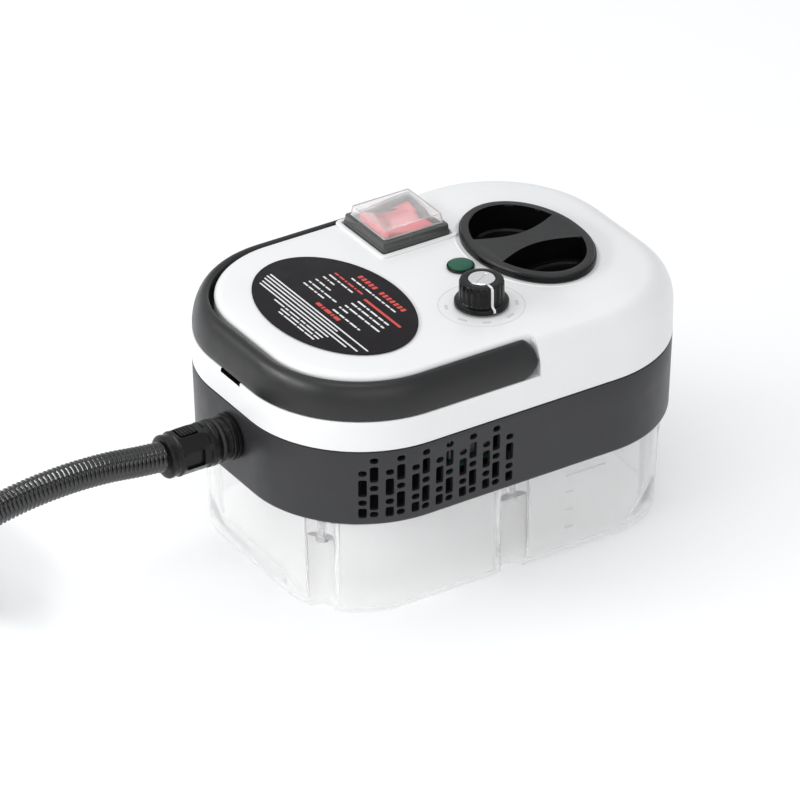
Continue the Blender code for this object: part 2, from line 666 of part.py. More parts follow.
def make_knob(mats):
    z = TOP_Z + GAP
    turned("pot_body", [(0, 105.5), (1.8, 105.5), (1.8, 120.3), (3.3, 120.3), (3.3, 113.6), (8.5, 113.6),
                        (8.5, 103.5), (0, 103.5)], (*KNOB_XY, 0), mats["steel"])
    turned("pot_nut", [(4.2, 119.4), (6.3, 119.4), (6.3, z), (4.2, z)], (*KNOB_XY, 0), mats["steel"],
           segments=6, ring=True)
    knob = turned("steam_knob", [(0, 130.0), (6.2, 130.0), (6.2, 130.4), (9.2, 130.4), (9.8, 129.8),
                                 (9.9, 121.2), (11.6, 120.4), (12.0, 118.6), (7.4, 118.6), (7.4, 121.0),
                                 (1.8, 121.0), (1.8, 128.0), (0, 128.0)], (*KNOB_XY, 0), mats["black"])
    shaft = turned("pot_shaft", [(0, 127.7), (1.4, 127.7), (1.4, 106.0), (0, 106.0)], (*KNOB_XY, 0),
                   mats["steel"], segments=12)
    cap = turned("knob_cap", [(0, 131.0), (5.4, 131.0), (5.9, 130.6), (5.9, 130.3), (0, 130.3)],
                 (*KNOB_XY, 0), mats["silver"])
    hang_on(empty_at("knob_axis", (*KNOB_XY, z)), knob, shaft, cap)


def make_nameplate(mats):
    rings = [oval(LABEL_HALF, z, (LABEL_X, 0), 40) for z in (TOP_Z + GAP, TOP_Z + GAP + LABEL_THICKNESS)]
    from_bmesh("nameplate", loft(rings), mats["label"])


# --------------------------------------------------------------------------- machine bay

def make_steam_works(mats):
    heater = box("heater_block", HEATER_CENTRE, HEATER_SIZE, mats["cast"], 3.0)
    grooves = bmesh.new()
    for x in (-76.0, -58.0, -40.0, -22.0):
        add_box(grooves, (x, 0, 82), (7, 54, 12))
    boolean(heater, from_bmesh("heater_groove_cutter", grooves))
    turned("thermostat", [(0, 88), (6.5, 88), (6.5, 86), (8.2, 86), (8.2, 80.3), (0, 80.3)], (-67, 12, 0),
           mats["steel"], segments=20)
    cylinder("thermal_fuse", (-49, -20, 83.4), (-49, 4, 83.4), 3.0, mats["cream"], 12)
    cylinder("steam_pipe", (-96.6, 0, HOSE_Z), (-87.3, 0, HOSE_Z), 4.0, mats["steel"], 14)

    pump_profile = [(0, 62), (4, 62), (4, 54), (12, 54), (12, 44), (15, 44), (15, 12), (12, 12), (12, 6),
                    (4, 6), (4, 0), (0, 0)]
    turned("pump_body", pump_profile, (-PUMP_HALF, PUMP_Y, PUMP_Z), mats["pump"], axis=(1, 0, 0))
    cradle = box("pump_cradle", (-3, PUMP_Y, 55.5), (24, 27, 8.0), mats["rubber"], 0.8)
    boolean(cradle, cylinder("cradle_cutter", (-30, PUMP_Y, PUMP_Z), (30, PUMP_Y, PUMP_Z), 15 + GAP))
    out_x = PUMP_HALF + GAP
    suction = [(out_x, PUMP_Y, PUMP_Z), (38, PUMP_Y, 67.6), (46, PUMP_Y, 63.5), (SUCTION_X, PUMP_Y, 55),
               (SUCTION_X, PUMP_Y, 30), (SUCTION_X, PUMP_Y, 9)]
    tube("suction_tube", smooth_route(suction, 5), SUCTION_R, mats["silicone"])
    turned("suction_filter", [(0, 7.5), (3.4, 7.5), (3.4, 17), (6.0, 17), (6.8, 15), (6.8, 3.2), (0, 3.2)],
           (SUCTION_X, PUMP_Y, 0), mats["grey"], segments=16)
    heater_side_y = HEATER_SIZE[1] / 2 + 0.4
    pressure = [(-out_x, PUMP_Y, PUMP_Z), (-38, PUMP_Y, PUMP_Z), (-46, 39, 67.6), (-50, 33, 67),
                (-50, heater_side_y, 67)]
    tube("pressure_tube", smooth_route(pressure, 4), 2.4, mats["silicone"])


def make_electrics(mats):
    board_y = BOARD_CENTRE[1]
    box("control_board", BOARD_CENTRE, BOARD_SIZE, mats["board"])
    sink = box("triac_heatsink", (-15, board_y, 67), (20, 16, 18), mats["cast"])
    slots = bmesh.new()
    for x in (-21.5, -17.2, -12.8, -8.5):
        add_box(slots, (x, board_y, 72), (2.2, 20, 18))
    boolean(sink, from_bmesh("fin_cutter", slots))
    turned("mains_gland", [(4.0, 2.8), (7.6, 2.8), (9.0, 1.6), (9.0, 0), (6.7, 0), (6.7, -12), (4.0, -12)],
           (GLAND_X, HALF_W + GAP, GLAND_Z), mats["black"], axis=(0, 1, 0), segments=20, ring=True)


# --------------------------------------------------------------------------- hose end and hose

def make_hose_fitting(mats):
    """Flange, seal and quick connector on the end wall; heights run outwards along -X."""
    wall_x = -HALF_L
    along = (-1, 0, 0)
    origin = (wall_x, 0, HOSE_Z)
    turned("hose_flange", [(5.0, 7.0), (9.2, 7.0), (9.2, 4.2), (10.6, 4.2), (10.6, GAP), (8.6, GAP),
                           (8.6, -6.6), (5.0, -6.6)], origin, mats["black"], axis=along, ring=True)
    turned("hose_nut", [(10.3, -2.9), (14.0, -2.9), (14.0, -6.2), (10.3, -6.2)], origin, mats["black"],
           axis=along, segments=6, ring=True)
    turned("hose_seal", [(5.0, 9.3), (9.6, 9.3), (10.0, 8.3), (9.6, 7.3), (5.0, 7.3)], origin, mats["rubber"],
           axis=along, ring=True)
    profile = [(0, 34.5), (9.2, 34.5), (9.5, 33.8), (9.5, 30.0), (CONNECTOR_R, 29.0), (CONNECTOR_R, 9.6),
               (0, 9.6)]
    connector = turned("hose_connector", profile, origin, mats["black"], axis=along)
    latch_x = wall_x - 23
    cuts = bmesh.new()
    add_box(cuts, (latch_x, 0, HOSE_Z + CONNECTOR_R), (9.0, 8.0, 4.0))
    for side in (-1, 1):
        add_box(cuts, (latch_x, side * CONNECTOR_R, HOSE_Z), (9.0, 4.0, 8.0))
    boolean(connector, from_bmesh("latch_window_cutter", cuts))
    box("hose_latch", (latch_x, 0, HOSE_Z + 9.5), (7.6, 6.6, 1.8), mats["black"], 0.3)


def coil_point(angle_deg, radius, z=0.0):
    angle = math.radians(angle_deg)
    return Vector((COIL_CENTRE[0] + radius * math.cos(angle), COIL_CENTRE[1] + radius * math.sin(angle), z))


def tail_point(along, z):
    """Point on the straight tail, measured from where it leaves the coil."""
    angle = math.radians(TAIL_LEAVES_DEG)
    heading = Vector((math.sin(angle), -math.cos(angle), 0))
    return coil_point(TAIL_LEAVES_DEG, COIL_R, z) + heading * along


def make_hose(mats):
    lead = [(-139.1, 0, 70.7), (-150.0, 0, 71.8), (-165.0, 0, 73.8), (-182.0, 0, 74.6), (-200.0, 0, 73.8),
            (-217.0, 0, 71.4), (-236.0, -0.5, 67.0), (-258.0, -1.9, 59.0), (-280.0, -4.1, 48.0),
            (-302.0, -6.7, 36.5), (-325.0, -9.1, 27.2)]
    tube("hose_lead", smooth_route(lead, 14), HOSE_R, mats["black"], 3)
    turned("hose_coil", [(COIL_R - HOSE_R, 4 * HOSE_R), (COIL_R + HOSE_R, 4 * HOSE_R), (COIL_R + HOSE_R, 0),
                         (COIL_R - HOSE_R, 0)], (*COIL_CENTRE, 0), mats["black"], segments=48, ring=True)
    tail = [tail_point(TAIL_CLEAR, GUN_Z - 0.8), tail_point(TAIL_CLEAR + 6, GUN_Z),
            tail_point(TAIL_LENGTH - GAP, GUN_Z)]
    tube("hose_tail", tail, HOSE_R, mats["black"], 3)


# --------------------------------------------------------------------------- steam gun

def grip_end():
    return tail_point(TAIL_LENGTH, GUN_Z)


def gun_origin():
    """Where the grip's axis meets the barrel's axis."""
    return tail_point(TAIL_LENGTH + GRIP_LENGTH, GUN_Z)


def gun_point(a, b, z=0.0):
    origin = gun_origin()
    return Vector((origin.x - b, origin.y - a, z))


def grip_side(along, across):
    """Gun coordinates of a point beside the grip's axis; across is positive towards the trigger."""
    lean = math.radians(90 - TAIL_LEAVES_DEG)
    return (math.cos(lean) * across - math.sin(lean) * along,
            math.sin(lean) * across + math.cos(lean) * along)


def gun_outline(inset):
    """Outline of the gun with its walls moved in: barrel, then grip, in (a, b)."""
    barrel, grip = BARREL_HALF - inset, GRIP_HALF - inset
    end = GRIP_LENGTH - inset
    top = -barrel
    corner = 5.0
    return [(52 - inset, top + 2), (50 - inset, top), (-22 + inset, top), (-26 + inset, top + corner),
            (-28 + inset, 6), grip_side(24, -grip), grip_side(end, -grip), grip_side(end, grip),
            grip_side(24, grip), (grip_side(24, grip)[0] + 5, barrel), (50 - inset, barrel),
            (52 - inset, barrel - 2)]


def gun_prism(inset, z_low, z_high):
    outline = [gun_point(a, b) for a, b in gun_outline(inset)]
    return prism([(point.x, point.y) for point in outline], z_low, z_high)


def gun_cutters():
    """Nozzle seat, collar seat and trigger slot, cut through both shells."""
    bm = bmesh.new()
    add_cylinder(bm, gun_point(40, 0, GUN_Z), gun_point(60, 0, GUN_Z), 6.4, 16)
    inner, outer = grip_side(GRIP_LENGTH - 8, 0), grip_side(GRIP_LENGTH + 6, 0)
    add_cylinder(bm, gun_point(*inner, GUN_Z), gun_point(*outer, GUN_Z), 9.6, 16)
    slot = gun_point(20, 15, GUN_Z)
    add_box(bm, slot, (10, 26, 10.4))
    return bm


def make_gun(mats):
    half = GUN_THICKNESS / 2
    seam = GAP / 2
    openings = from_bmesh("gun_cutters", gun_cutters())
    for name, low, high, hollow in (
            ("gun_shell_lower", GUN_Z - half, GUN_Z - seam, (GUN_Z - half + GUN_WALL, GUN_Z + 5)),
            ("gun_shell_upper", GUN_Z + seam, GUN_Z + half, (GUN_Z - 5, GUN_Z + half - GUN_WALL))):
        shell = from_bmesh(name, gun_prism(0, low, high), mats["dark"], smooth=False)
        boolean(shell, from_bmesh(f"{name}_hollow", gun_prism(GUN_WALL, *hollow)))
        boolean(shell, openings)
    pivot = gun_point(*TRIGGER_PIVOT, GUN_Z)
    outline = [(31.5, 4), (31.5, 14), (27, 20), (27.5, 34), (31, 46), (28, 49), (22.5, 46), (19.5, 34),
               (20, 20), (22, 4)]
    points = [gun_point(a, b) for a, b in outline]
    trigger = from_bmesh("gun_trigger", prism([(p.x, p.y) for p in points], GUN_Z - 4.5, GUN_Z + 4.5),
                         mats["red_plastic"], smooth=False)
    boolean(trigger, cylinder("trigger_bore_cutter", pivot - Vector((0, 0, 9)), pivot + Vector((0, 0, 9)),
                              TRIGGER_PIN_R + GAP))
    hang_on(empty_at("trigger_axis", pivot), trigger)
    reach = Vector((0, 0, half - GUN_WALL - GAP))
    cylinder("gun_trigger_pin", pivot - reach, pivot + reach, TRIGGER_PIN_R, mats["steel"], 12)
    cylinder("gun_valve", gun_point(-22, 0, GUN_Z), gun_point(16, 0, GUN_Z), 7.0, mats["brass"], 16)
    nozzle = [(0, 75), (4.5, 75), (6.5, 66), (8.0, 64), (8.0, 54.5), (6.0, 54.5), (6.0, 42), (0, 42)]
    turned("gun_nozzle", nozzle, gun_point(0, 0, GUN_Z), mats["black"], axis=(0, -1, 0), segments=18)
    heading = (grip_end() - gun_origin()).normalized()
    turned("gun_collar", [(0, 8.0), (9.2, 8.0), (9.2, 0), (0, 0)], grip_end() - heading * 8.0, mats["black"],
           axis=heading, segments=18)


# --------------------------------------------------------------------------- the whole

def make_materials():
    return {
        "clear": material("clear", (0.93, 0.94, 0.95), 0.05, alpha=0.3),
        "dark": material("dark", (0.07, 0.07, 0.072), 0.5),
        "black": material("black", (0.02, 0.02, 0.02), 0.45),
        "white": material("white", (0.88, 0.88, 0.88), 0.35),
        "grey": material("grey", (0.4, 0.4, 0.4), 0.5),
        "rubber": material("rubber", (0.03, 0.03, 0.03), 0.8),
        "silicone": material("silicone", (0.75, 0.75, 0.72), 0.5),
        "steel": material("steel", (0.6, 0.6, 0.6), 0.3, 1.0),
        "silver": material("silver", (0.8, 0.8, 0.8), 0.3, 1.0),
        "cast": material("cast", (0.5, 0.5, 0.5), 0.5, 1.0),
        "brass": material("brass", (0.7, 0.5, 0.2), 0.35, 1.0),
        "pump": material("pump", (0.1, 0.1, 0.12), 0.5),
        "board": material("board", (0.03, 0.2, 0.08), 0.5),
        "cream": material("cream", (0.8, 0.75, 0.6), 0.5),
        "red": material("red", (0.5, 0.03, 0.04), 0.2),
        "red_plastic": material("red_plastic", (0.5, 0.05, 0.04), 0.4),
        "green": material("green", (0.02, 0.16, 0.09), 0.2),
        "label": material("label", (0.03, 0.025, 0.03), 0.4),
    }


def main():
    global PARTS, CUTTERS
    clear_scene()
    PARTS = new_collection("steam_cleaner")
    CUTTERS = new_collection("cutters")
    mats = make_materials()
    make_tank(mats)
    make_tank_gasket(mats)
    make_housing(mats)
    for number, (x, y) in enumerate(TANK_SCREWS, 1):
        screw(f"tank_screw_{number}", x, y, WELL_TOP_Z - GAP, 21.5, 3.1, 1.6, mats["steel"])
    for number, (x, y) in enumerate(COVER_SCREWS, 1):
        screw(f"cover_screw_{number}", x, y, COVER_SCREW_HEAD_Z, 20.0, 2.9, 1.4, mats["steel"])
    make_cover(mats)
    make_handle(mats)
    make_funnel(mats)
    make_cap(mats)
    make_switch(mats)
    make_lamp(mats)
    make_knob(mats)
    make_nameplate(mats)
    make_steam_works(mats)
    make_electrics(mats)
    make_hose_fitting(mats)
    make_hose(mats)
    make_gun(mats)


main()
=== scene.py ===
"""The visual model of a portable steam cleaner with its steam hose and gun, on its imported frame.

Dimensions are in millimetres in the frame of the CAD: +X away from the hose, -Y towards the vent
grille, +Z up. Every mesh is scaled to metres when its object is made. The studio is in metres.
"""

import math

import bmesh
import bpy
from mathutils import Matrix, Vector


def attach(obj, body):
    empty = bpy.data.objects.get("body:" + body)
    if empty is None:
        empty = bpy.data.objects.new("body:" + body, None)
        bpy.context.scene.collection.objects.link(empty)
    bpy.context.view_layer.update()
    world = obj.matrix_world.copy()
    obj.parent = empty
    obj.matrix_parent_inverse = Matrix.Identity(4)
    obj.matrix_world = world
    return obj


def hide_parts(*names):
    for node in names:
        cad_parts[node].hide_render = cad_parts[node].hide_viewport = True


def corners(x, y, centre=(0.0, 0.0)):
    """The four corners of a rectangle of half sizes x and y."""
    return [(centre[0] + sx * x, centre[1] + sy * y) for sx in (-1, 1) for sy in (-1, 1)]


MM = 0.001
GAP = 0.3
AXIS = 0.01                    # radius at which a turned shape closes on its axis
SHARP_DEG = 32.0

# Body
HALF_L, HALF_W, CORNER_R = 103.5, 72.0, 55.0
WALL = 2.5
TANK_TOP_Z = 46.6
BAND_Z = (48.3, 84.85)
FLOOR_Z = 51.2
COVER_BOTTOM_Z = 85.15
SHOULDER_Z, DOME_EDGE_Z, TOP_Z, ROOF_Z = 99.7, 116.5, 117.5, 114.5
DOME_INSET = 7.0               # how far the dome leans in at the long sides
RECESS_END_X, RECESS_DEPTH, RECESS_EDGE_R, RECESS_EDGE_Z = 8.2, 8.3, 3.0, 113.88

# Tank
TANK_BASE_HALF, TANK_TOP_HALF, TANK_CORNER_R, TANK_WALL = (94.2, 64.5), (95.5, 65.5), 40.0, 2.2
WELLS = corners(88.5, 47.5) + [(0.0, -64.0), (0.0, 64.0)]
WELL_R, WELL_TOP_Z, TANK_SCREW_HOLE_R = 6.5, 38.0, 2.1
LEVEL_MARK_X = 26.4
LEVEL_MARKS = [(40.0, 21.0), (31.5, 4.5), (22.2, 4.5), (13.3, 4.5)]     # (z, width)
TANK_SCREWS = corners(86.0, 45.8) + [(0.0, -61.0), (0.0, 61.0)]

# Details on the cover
NOTCH_SIZE = (4.0, 15.5, 3.6)
COVER_SCREWS = corners(72.0, 46.0)
HANDLE_PIVOT = (-1.0, 0.0, 108.1)
HANDLE_INSET, PIN_HOLE_R = 7.8, 2.8
# How far the handle's ends reach below and above the pivot, clear of the recess
HANDLE_END_LOW_R, HANDLE_END_HIGH_R = 8.1, 8.95
FILLER_X = 49.0
CAP_HALF, PLUG_HALF, LIP_HALF = (26.5, 37.5), (23.9, 34.8), (24.8, 35.7)
POCKET_HALF, POCKET_START_DEG = (22.0, 32.6), 21
BAR_HALF_WIDTH = 5.7           # of the cap's grip bar at its middle
SWITCH_XY, LAMP_XY, KNOB_XY, DIAL_MARK_R = (8.5, 42.8), (13.5, -1.0), (3.3, -33.0), 15.4
POINTER_DEG = -95
LABEL_X, LABEL_HALF = -50.6, (31.0, 46.1)
ROCKER_PIVOT_Z, ROCKER_REST_DEG = 118.0, 8
FACE_Z = TOP_Z + GAP           # seat of the pieces that stand on the cover

# Machine bay
HEATER_POSTS = corners(28.0, 18.0, (-50.0, 0.0))
BOARD_POSTS = corners(25.0, 9.5, (0.0, -43.0))
SUCTION_XY = (50.0, 42.0)
GLAND_X, GLAND_Z = 30.0, 66.0

# Vent grille: openings from the top down as (centre z, height); the low ones are oval
GRILLE_TALL = [(80.6, 2.8), (73.7, 7.7), (66.8, 2.8), (59.8, 8.0), (53.6, 2.8)]
GRILLE_SHORT = [(74.4, 2.8), (66.9, 8.4), (59.6, 2.8), (54.4, 4.8)]
GRILLE_START, GRILLE_STEPS, GRILLE_COLUMNS = 7.2, (6.9, 5.0), 13
SLOT_WIDTH, SLOT_R, OVAL_R = 3.7, 0.9, 1.3

# Hose and gun
HOSE_Z, HOSE_R = 70.0, 6.75
RIB_PITCH, ROUTE_SPACING = 2.1, 3.0
RIB_DEPTHS = (0.0, 0.3, 1.35, 1.35, 0.3)       # over one rib: a rounded crest and a narrow groove
HOSE_SIDES, SEAM_SIDE, SEAM_DEPTH = 20, 9, 1.2  # the seam is the lengthwise split line
COIL_CENTRE, COIL_R = (-372.0, 61.0), 72.0
COIL_TURNS = 1.5417
TAIL_LEAVES_DEG, TAIL_LENGTH = 75.0, 61.7
TAIL_HEADING = Vector((math.sin(math.radians(TAIL_LEAVES_DEG)),
                       -math.cos(math.radians(TAIL_LEAVES_DEG)), 0))
GUN_Z, GUN_THICKNESS = 15.5, 31.0
GRIP_LENGTH, GRIP_HALF, BARREL_HALF = 78.0, 13.5, 14.0
TRIGGER_PIVOT, TRIGGER_PIN_R = (27.0, 8.0), 2.0

# Camera: its axes in the CAD's frame, its lens, and the point it looks at
CAMERA_RIGHT, CAMERA_UP = (0.842, -0.5397, 0.0), (0.2758, 0.4302, 0.8596)
SENSOR_WIDTH, LENS, FAR_CLIP_M = 36.0, 280.5, 20.0
CAMERA_TARGET, SHIFT_RIGHT, SHIFT_UP, CAMERA_DISTANCE = (0, 0, 60), -14.52, -4.83, 2734

# Studio, in metres: a paper floor that bends up behind the object
PAPER_HALF_X, PAPER_FRONT_Y, PAPER_BACK_Y, PAPER_BEND_R, PAPER_TOP_Z = 4.0, -5.0, 3.0, 1.5, 4.0
WORLD_STRENGTH = 0.66
LIGHT_TABLE = 0.20             # glow of the floor, which keeps the clear tank bright

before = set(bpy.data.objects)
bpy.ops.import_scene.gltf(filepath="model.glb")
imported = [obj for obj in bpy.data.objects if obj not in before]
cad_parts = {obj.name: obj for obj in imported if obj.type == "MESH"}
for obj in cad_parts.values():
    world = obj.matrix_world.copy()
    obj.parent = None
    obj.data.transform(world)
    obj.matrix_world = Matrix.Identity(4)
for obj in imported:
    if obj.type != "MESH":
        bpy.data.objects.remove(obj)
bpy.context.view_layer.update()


# --------------------------------------------------------------------------- materials

def new_material(name):
    mat = bpy.data.materials.new(name)
    mat.use_nodes = True
    return mat, mat.node_tree, mat.node_tree.nodes["Principled BSDF"]


def noise(tree, scale, detail=3.0, rough=0.5, stretch=(1, 1, 1)):
    """Noise in the piece's own coordinates; scale is in features per metre."""
    coords = tree.nodes.new("ShaderNodeTexCoord")
    mapping = tree.nodes.new("ShaderNodeMapping")
    mapping.inputs["Scale"].default_value = stretch
    texture = tree.nodes.new("ShaderNodeTexNoise")
    texture.inputs["Scale"].default_value = scale
    texture.inputs["Detail"].default_value = detail
    texture.inputs["Roughness"].default_value = rough
    tree.links.new(coords.outputs["Object"], mapping.inputs["Vector"])
    tree.links.new(mapping.outputs["Vector"], texture.inputs["Vector"])
    return texture.outputs["Fac"]


def remap(tree, value, low, high, from_low=0.3, from_high=0.7):
    node = tree.nodes.new("ShaderNodeMapRange")
    for socket, number in (("From Min", from_low), ("From Max", from_high),
                           ("To Min", low), ("To Max", high)):
        node.inputs[socket].default_value = number
    tree.links.new(value, node.inputs["Value"])
    return node.outputs["Result"]


def mix_colours(tree, value, first, second):
    node = tree.nodes.new("ShaderNodeMix")
    node.data_type = "RGBA"
    node.inputs["A"].default_value = (*first, 1.0)
    node.inputs["B"].default_value = (*second, 1.0)
    tree.links.new(value, node.inputs["Factor"])
    return node.outputs["Result"]


def add_bump(tree, shader, value, strength, depth):
    node = tree.nodes.new("ShaderNodeBump")
    node.inputs["Strength"].default_value = strength
    node.inputs["Distance"].default_value = depth * MM
    tree.links.new(value, node.inputs["Height"])
    tree.links.new(node.outputs["Normal"], shader.inputs["Normal"])


def moulded(name, colour, roughness, spread=0.05, grain=2200.0, strength=0.12, depth=0.05,
            tone=0.06, metallic=0.0, coat=0.0, specular=0.5, stretch=(1, 1, 1)):
    """Moulded plastic, rubber or bare metal: mottled colour, uneven gloss and a fine grain."""
    mat, tree, shader = new_material(name)
    broad = noise(tree, 38.0, 4.0, 0.55)
    darker = tuple(channel * (1 - tone) for channel in colour)
    lighter = tuple(min(1.0, channel * (1 + tone)) for channel in colour)
    tree.links.new(mix_colours(tree, remap(tree, broad, 0, 1), darker, lighter),
                   shader.inputs["Base Color"])
    smudges = noise(tree, 120.0, 5.0, 0.6, stretch)
    tree.links.new(remap(tree, smudges, roughness - spread, roughness + spread),
                   shader.inputs["Roughness"])
    add_bump(tree, shader, noise(tree, grain, 2.0, 0.5, stretch), strength, depth)
    shader.inputs["Metallic"].default_value = metallic
    shader.inputs["Specular IOR Level"].default_value = specular
    shader.inputs["Coat Weight"].default_value = coat
    shader.inputs["Coat Roughness"].default_value = 0.08
    return mat


def clear(name, colour, roughness, ior, haze=0.0):
    """Clear moulded plastic that lets lamps through, with faint flow marks in its gloss."""
    mat, tree, shader = new_material(name)
    shader.inputs["Base Color"].default_value = (*colour, 1.0)
    shader.inputs["Transmission Weight"].default_value = 1.0 - haze
    shader.inputs["IOR"].default_value = ior
    flow = noise(tree, 26.0, 3.0, 0.5, (1, 1, 2.5))
    tree.links.new(remap(tree, flow, roughness * 0.6, roughness * 1.5), shader.inputs["Roughness"])
    add_bump(tree, shader, noise(tree, 90.0, 2.0, 0.4), 0.08, 0.1)
    path = tree.nodes.new("ShaderNodeLightPath")
    through = tree.nodes.new("ShaderNodeBsdfTransparent")
    through.inputs["Color"].default_value = (*colour, 1.0)
    blend = tree.nodes.new("ShaderNodeMixShader")
    output = tree.nodes["Material Output"]
    tree.links.new(path.outputs["Is Shadow Ray"], blend.inputs["Fac"])
    tree.links.new(shader.outputs["BSDF"], blend.inputs[1])
    tree.links.new(through.outputs["BSDF"], blend.inputs[2])
    tree.links.new(blend.outputs["Shader"], output.inputs["Surface"])
    return mat


MATS = {
    "white": moulded("white_abs", (0.78, 0.78, 0.78), 0.34, 0.05, 1800, 0.05, 0.03, 0.012,
                     coat=0.12),
    "dark": moulded("charcoal_abs", (0.022, 0.022, 0.024), 0.40, 0.05, 1500, 0.18, 0.06, 0.05,
                    specular=0.45),
    "handle": moulded("charcoal_satin", (0.011, 0.011, 0.0115), 0.36, 0.05, 1500, 0.12, 0.05, 0.05,
                      specular=0.45),
    "cap": moulded("cap_abs", (0.011, 0.011, 0.0115), 0.42, 0.05, 1500, 0.12, 0.05, 0.05,
                   specular=0.4),
    # the cap's own gloss black; it is also put on the cover's notch as painted shade
    "pocket": moulded("cap_gloss_and_notch_shade", (0.003, 0.003, 0.003), 0.16, 0.04, 1500, 0.06, 0.03, 0.1,
                      specular=0.2),
    "bezel": moulded("bezel_gloss", (0.052, 0.054, 0.052), 0.22, 0.06, 1500, 0.08, 0.03, 0.06,
                     coat=0.3),
    "black": moulded("black_nylon", (0.004, 0.004, 0.0045), 0.30, 0.07, 1300, 0.2, 0.05, 0.2,
                     specular=0.3),
    "knob": moulded("knob_phenolic", (0.0025, 0.0025, 0.003), 0.20, 0.05, 1300, 0.06, 0.03, 0.2,
                    specular=0.25),
    "hose": moulded("hose_pvc", (0.002, 0.002, 0.0025), 0.11, 0.03, 900, 0.05, 0.03, 0.2,
                    specular=0.8),
    "rubber": moulded("rubber", (0.018, 0.018, 0.018), 0.72, 0.06, 900, 0.3, 0.08, 0.15),
    "inner": moulded("inner_pp", (0.26, 0.26, 0.265), 0.5, 0.06, 1200, 0.15, 0.05, 0.04),
    "silicone": moulded("silicone", (0.62, 0.62, 0.58), 0.42, 0.06, 700, 0.12, 0.05, 0.05),
    "steel": moulded("steel", (0.56, 0.56, 0.57), 0.28, 0.08, 2600, 0.15, 0.03, 0.08, metallic=1.0,
                     stretch=(1, 1, 6)),
    "silver": moulded("brushed_cap", (0.83, 0.83, 0.84), 0.22, 0.08, 3200, 0.2, 0.02, 0.05,
                      metallic=1.0, stretch=(1, 12, 1)),
    "cast": moulded("cast_alloy", (0.42, 0.42, 0.43), 0.55, 0.08, 800, 0.6, 0.15, 0.1,
                    metallic=1.0),
    "brass": moulded("brass", (0.62, 0.42, 0.16), 0.32, 0.08, 1800, 0.2, 0.04, 0.12, metallic=1.0),
    "pump": moulded("pump_nylon", (0.03, 0.03, 0.034), 0.45, 0.06, 1200, 0.2, 0.06, 0.12),
    "board": moulded("board_mask", (0.012, 0.11, 0.045), 0.3, 0.08, 500, 0.3, 0.05, 0.25),
    "sleeve": moulded("glass_sleeve", (0.66, 0.60, 0.45), 0.7, 0.08, 1600, 0.6, 0.1, 0.15,
                      stretch=(1, 6, 1)),
    "rocker": moulded("rocker_red", (0.60, 0.050, 0.065), 0.16, 0.05, 600, 0.05, 0.03, 0.25,
                      coat=0.5),
    "trigger": moulded("trigger_red", (0.42, 0.02, 0.02), 0.36, 0.05, 1500, 0.15, 0.05, 0.06),
    "lens": moulded("lens_green", (0.008, 0.090, 0.050), 0.25, 0.05, 420, 0.15, 0.06, 0.25,
                    specular=0.3),
    "label": moulded("label_film", (0.006, 0.004, 0.0055), 0.45, 0.05, 1400, 0.12, 0.03, 0.06,
                     specular=0.15),
    "print_white": moulded("print_white", (0.74, 0.73, 0.74), 0.5, 0.05, 2600, 0.2, 0.02, 0.05),
    "print_red": moulded("print_red", (0.58, 0.055, 0.045), 0.5, 0.05, 2600, 0.2, 0.02, 0.06),
    "print_grey": moulded("print_grey", (0.60, 0.60, 0.61), 0.5, 0.05, 2600, 0.2, 0.02, 0.03),
    "clear": clear("tank_clear", (0.99, 0.99, 0.99), 0.03, 1.30, 0.22),
    "boot": clear("boot_clear", (0.98, 0.98, 0.98), 0.03, 1.30, 0.16),
}


# --------------------------------------------------------------------------- objects

def raw_object(name, bm, mat=None, smooth=True):
    """An object in metres from a bmesh in millimetres."""
    bmesh.ops.recalc_face_normals(bm, faces=bm.faces)
    bm.transform(Matrix.Scale(MM, 4))
    mesh = bpy.data.meshes.new(name)
    bm.to_mesh(mesh)
    bm.free()
    if mat:
        mesh.materials.append(mat)
    if smooth:
        mesh.shade_smooth()
        mesh.set_sharp_from_angle(angle=math.radians(SHARP_DEG))
    obj = bpy.data.objects.new(name, mesh)
    bpy.context.scene.collection.objects.link(obj)
    return obj


def apply_modifiers(obj):
    bpy.context.view_layer.update()
    source = obj.evaluated_get(bpy.context.evaluated_depsgraph_get())
    mesh = bpy.data.meshes.new_from_object(source)
    old = obj.data
    obj.modifiers.clear()
    obj.data = mesh
    bpy.data.meshes.remove(old)
    mesh.shade_smooth()
    mesh.set_sharp_from_angle(angle=math.radians(SHARP_DEG))


def boolean(obj, *cutters, operation="DIFFERENCE"):
    """Combine a piece with each cutter's bmesh and keep the result as its mesh."""
    helpers = []
    for bm in cutters:
        helper = raw_object("cutter", bm, smooth=False)
        mod = obj.modifiers.new("combine", "BOOLEAN")
        mod.operation = operation
        mod.object = helper
        helpers.append(helper)
    apply_modifiers(obj)
    for helper in helpers:
        mesh = helper.data
        bpy.data.objects.remove(helper)
        bpy.data.meshes.remove(mesh)


def paint(obj, mat, chosen):
    """Give a second material to the faces whose (centre in millimetres, normal) is chosen."""
    obj.data.materials.append(MATS[mat])
    for face in obj.data.polygons:
        if chosen(face.center / MM, face.normal):
            face.material_index = 1


def belongs(obj, slot, *nodes, body="root"):
    """Put a piece on its body and hide the CAD nodes that it stands for. The slot is not used."""
    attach(obj, body)
    if nodes:
        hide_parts(*nodes)
    return obj


def piece(name, bm, mat, slot, *nodes, body="root", cuts=(), smooth=True):
    """A finished piece of one material: its mesh, its cuts and its place in the assembly."""
    obj = raw_object(name, bm, MATS[mat], smooth)
    if cuts:
        boolean(obj, *cuts)
    return belongs(obj, slot, *nodes, body=body)


# --------------------------------------------------------------------------- shapes

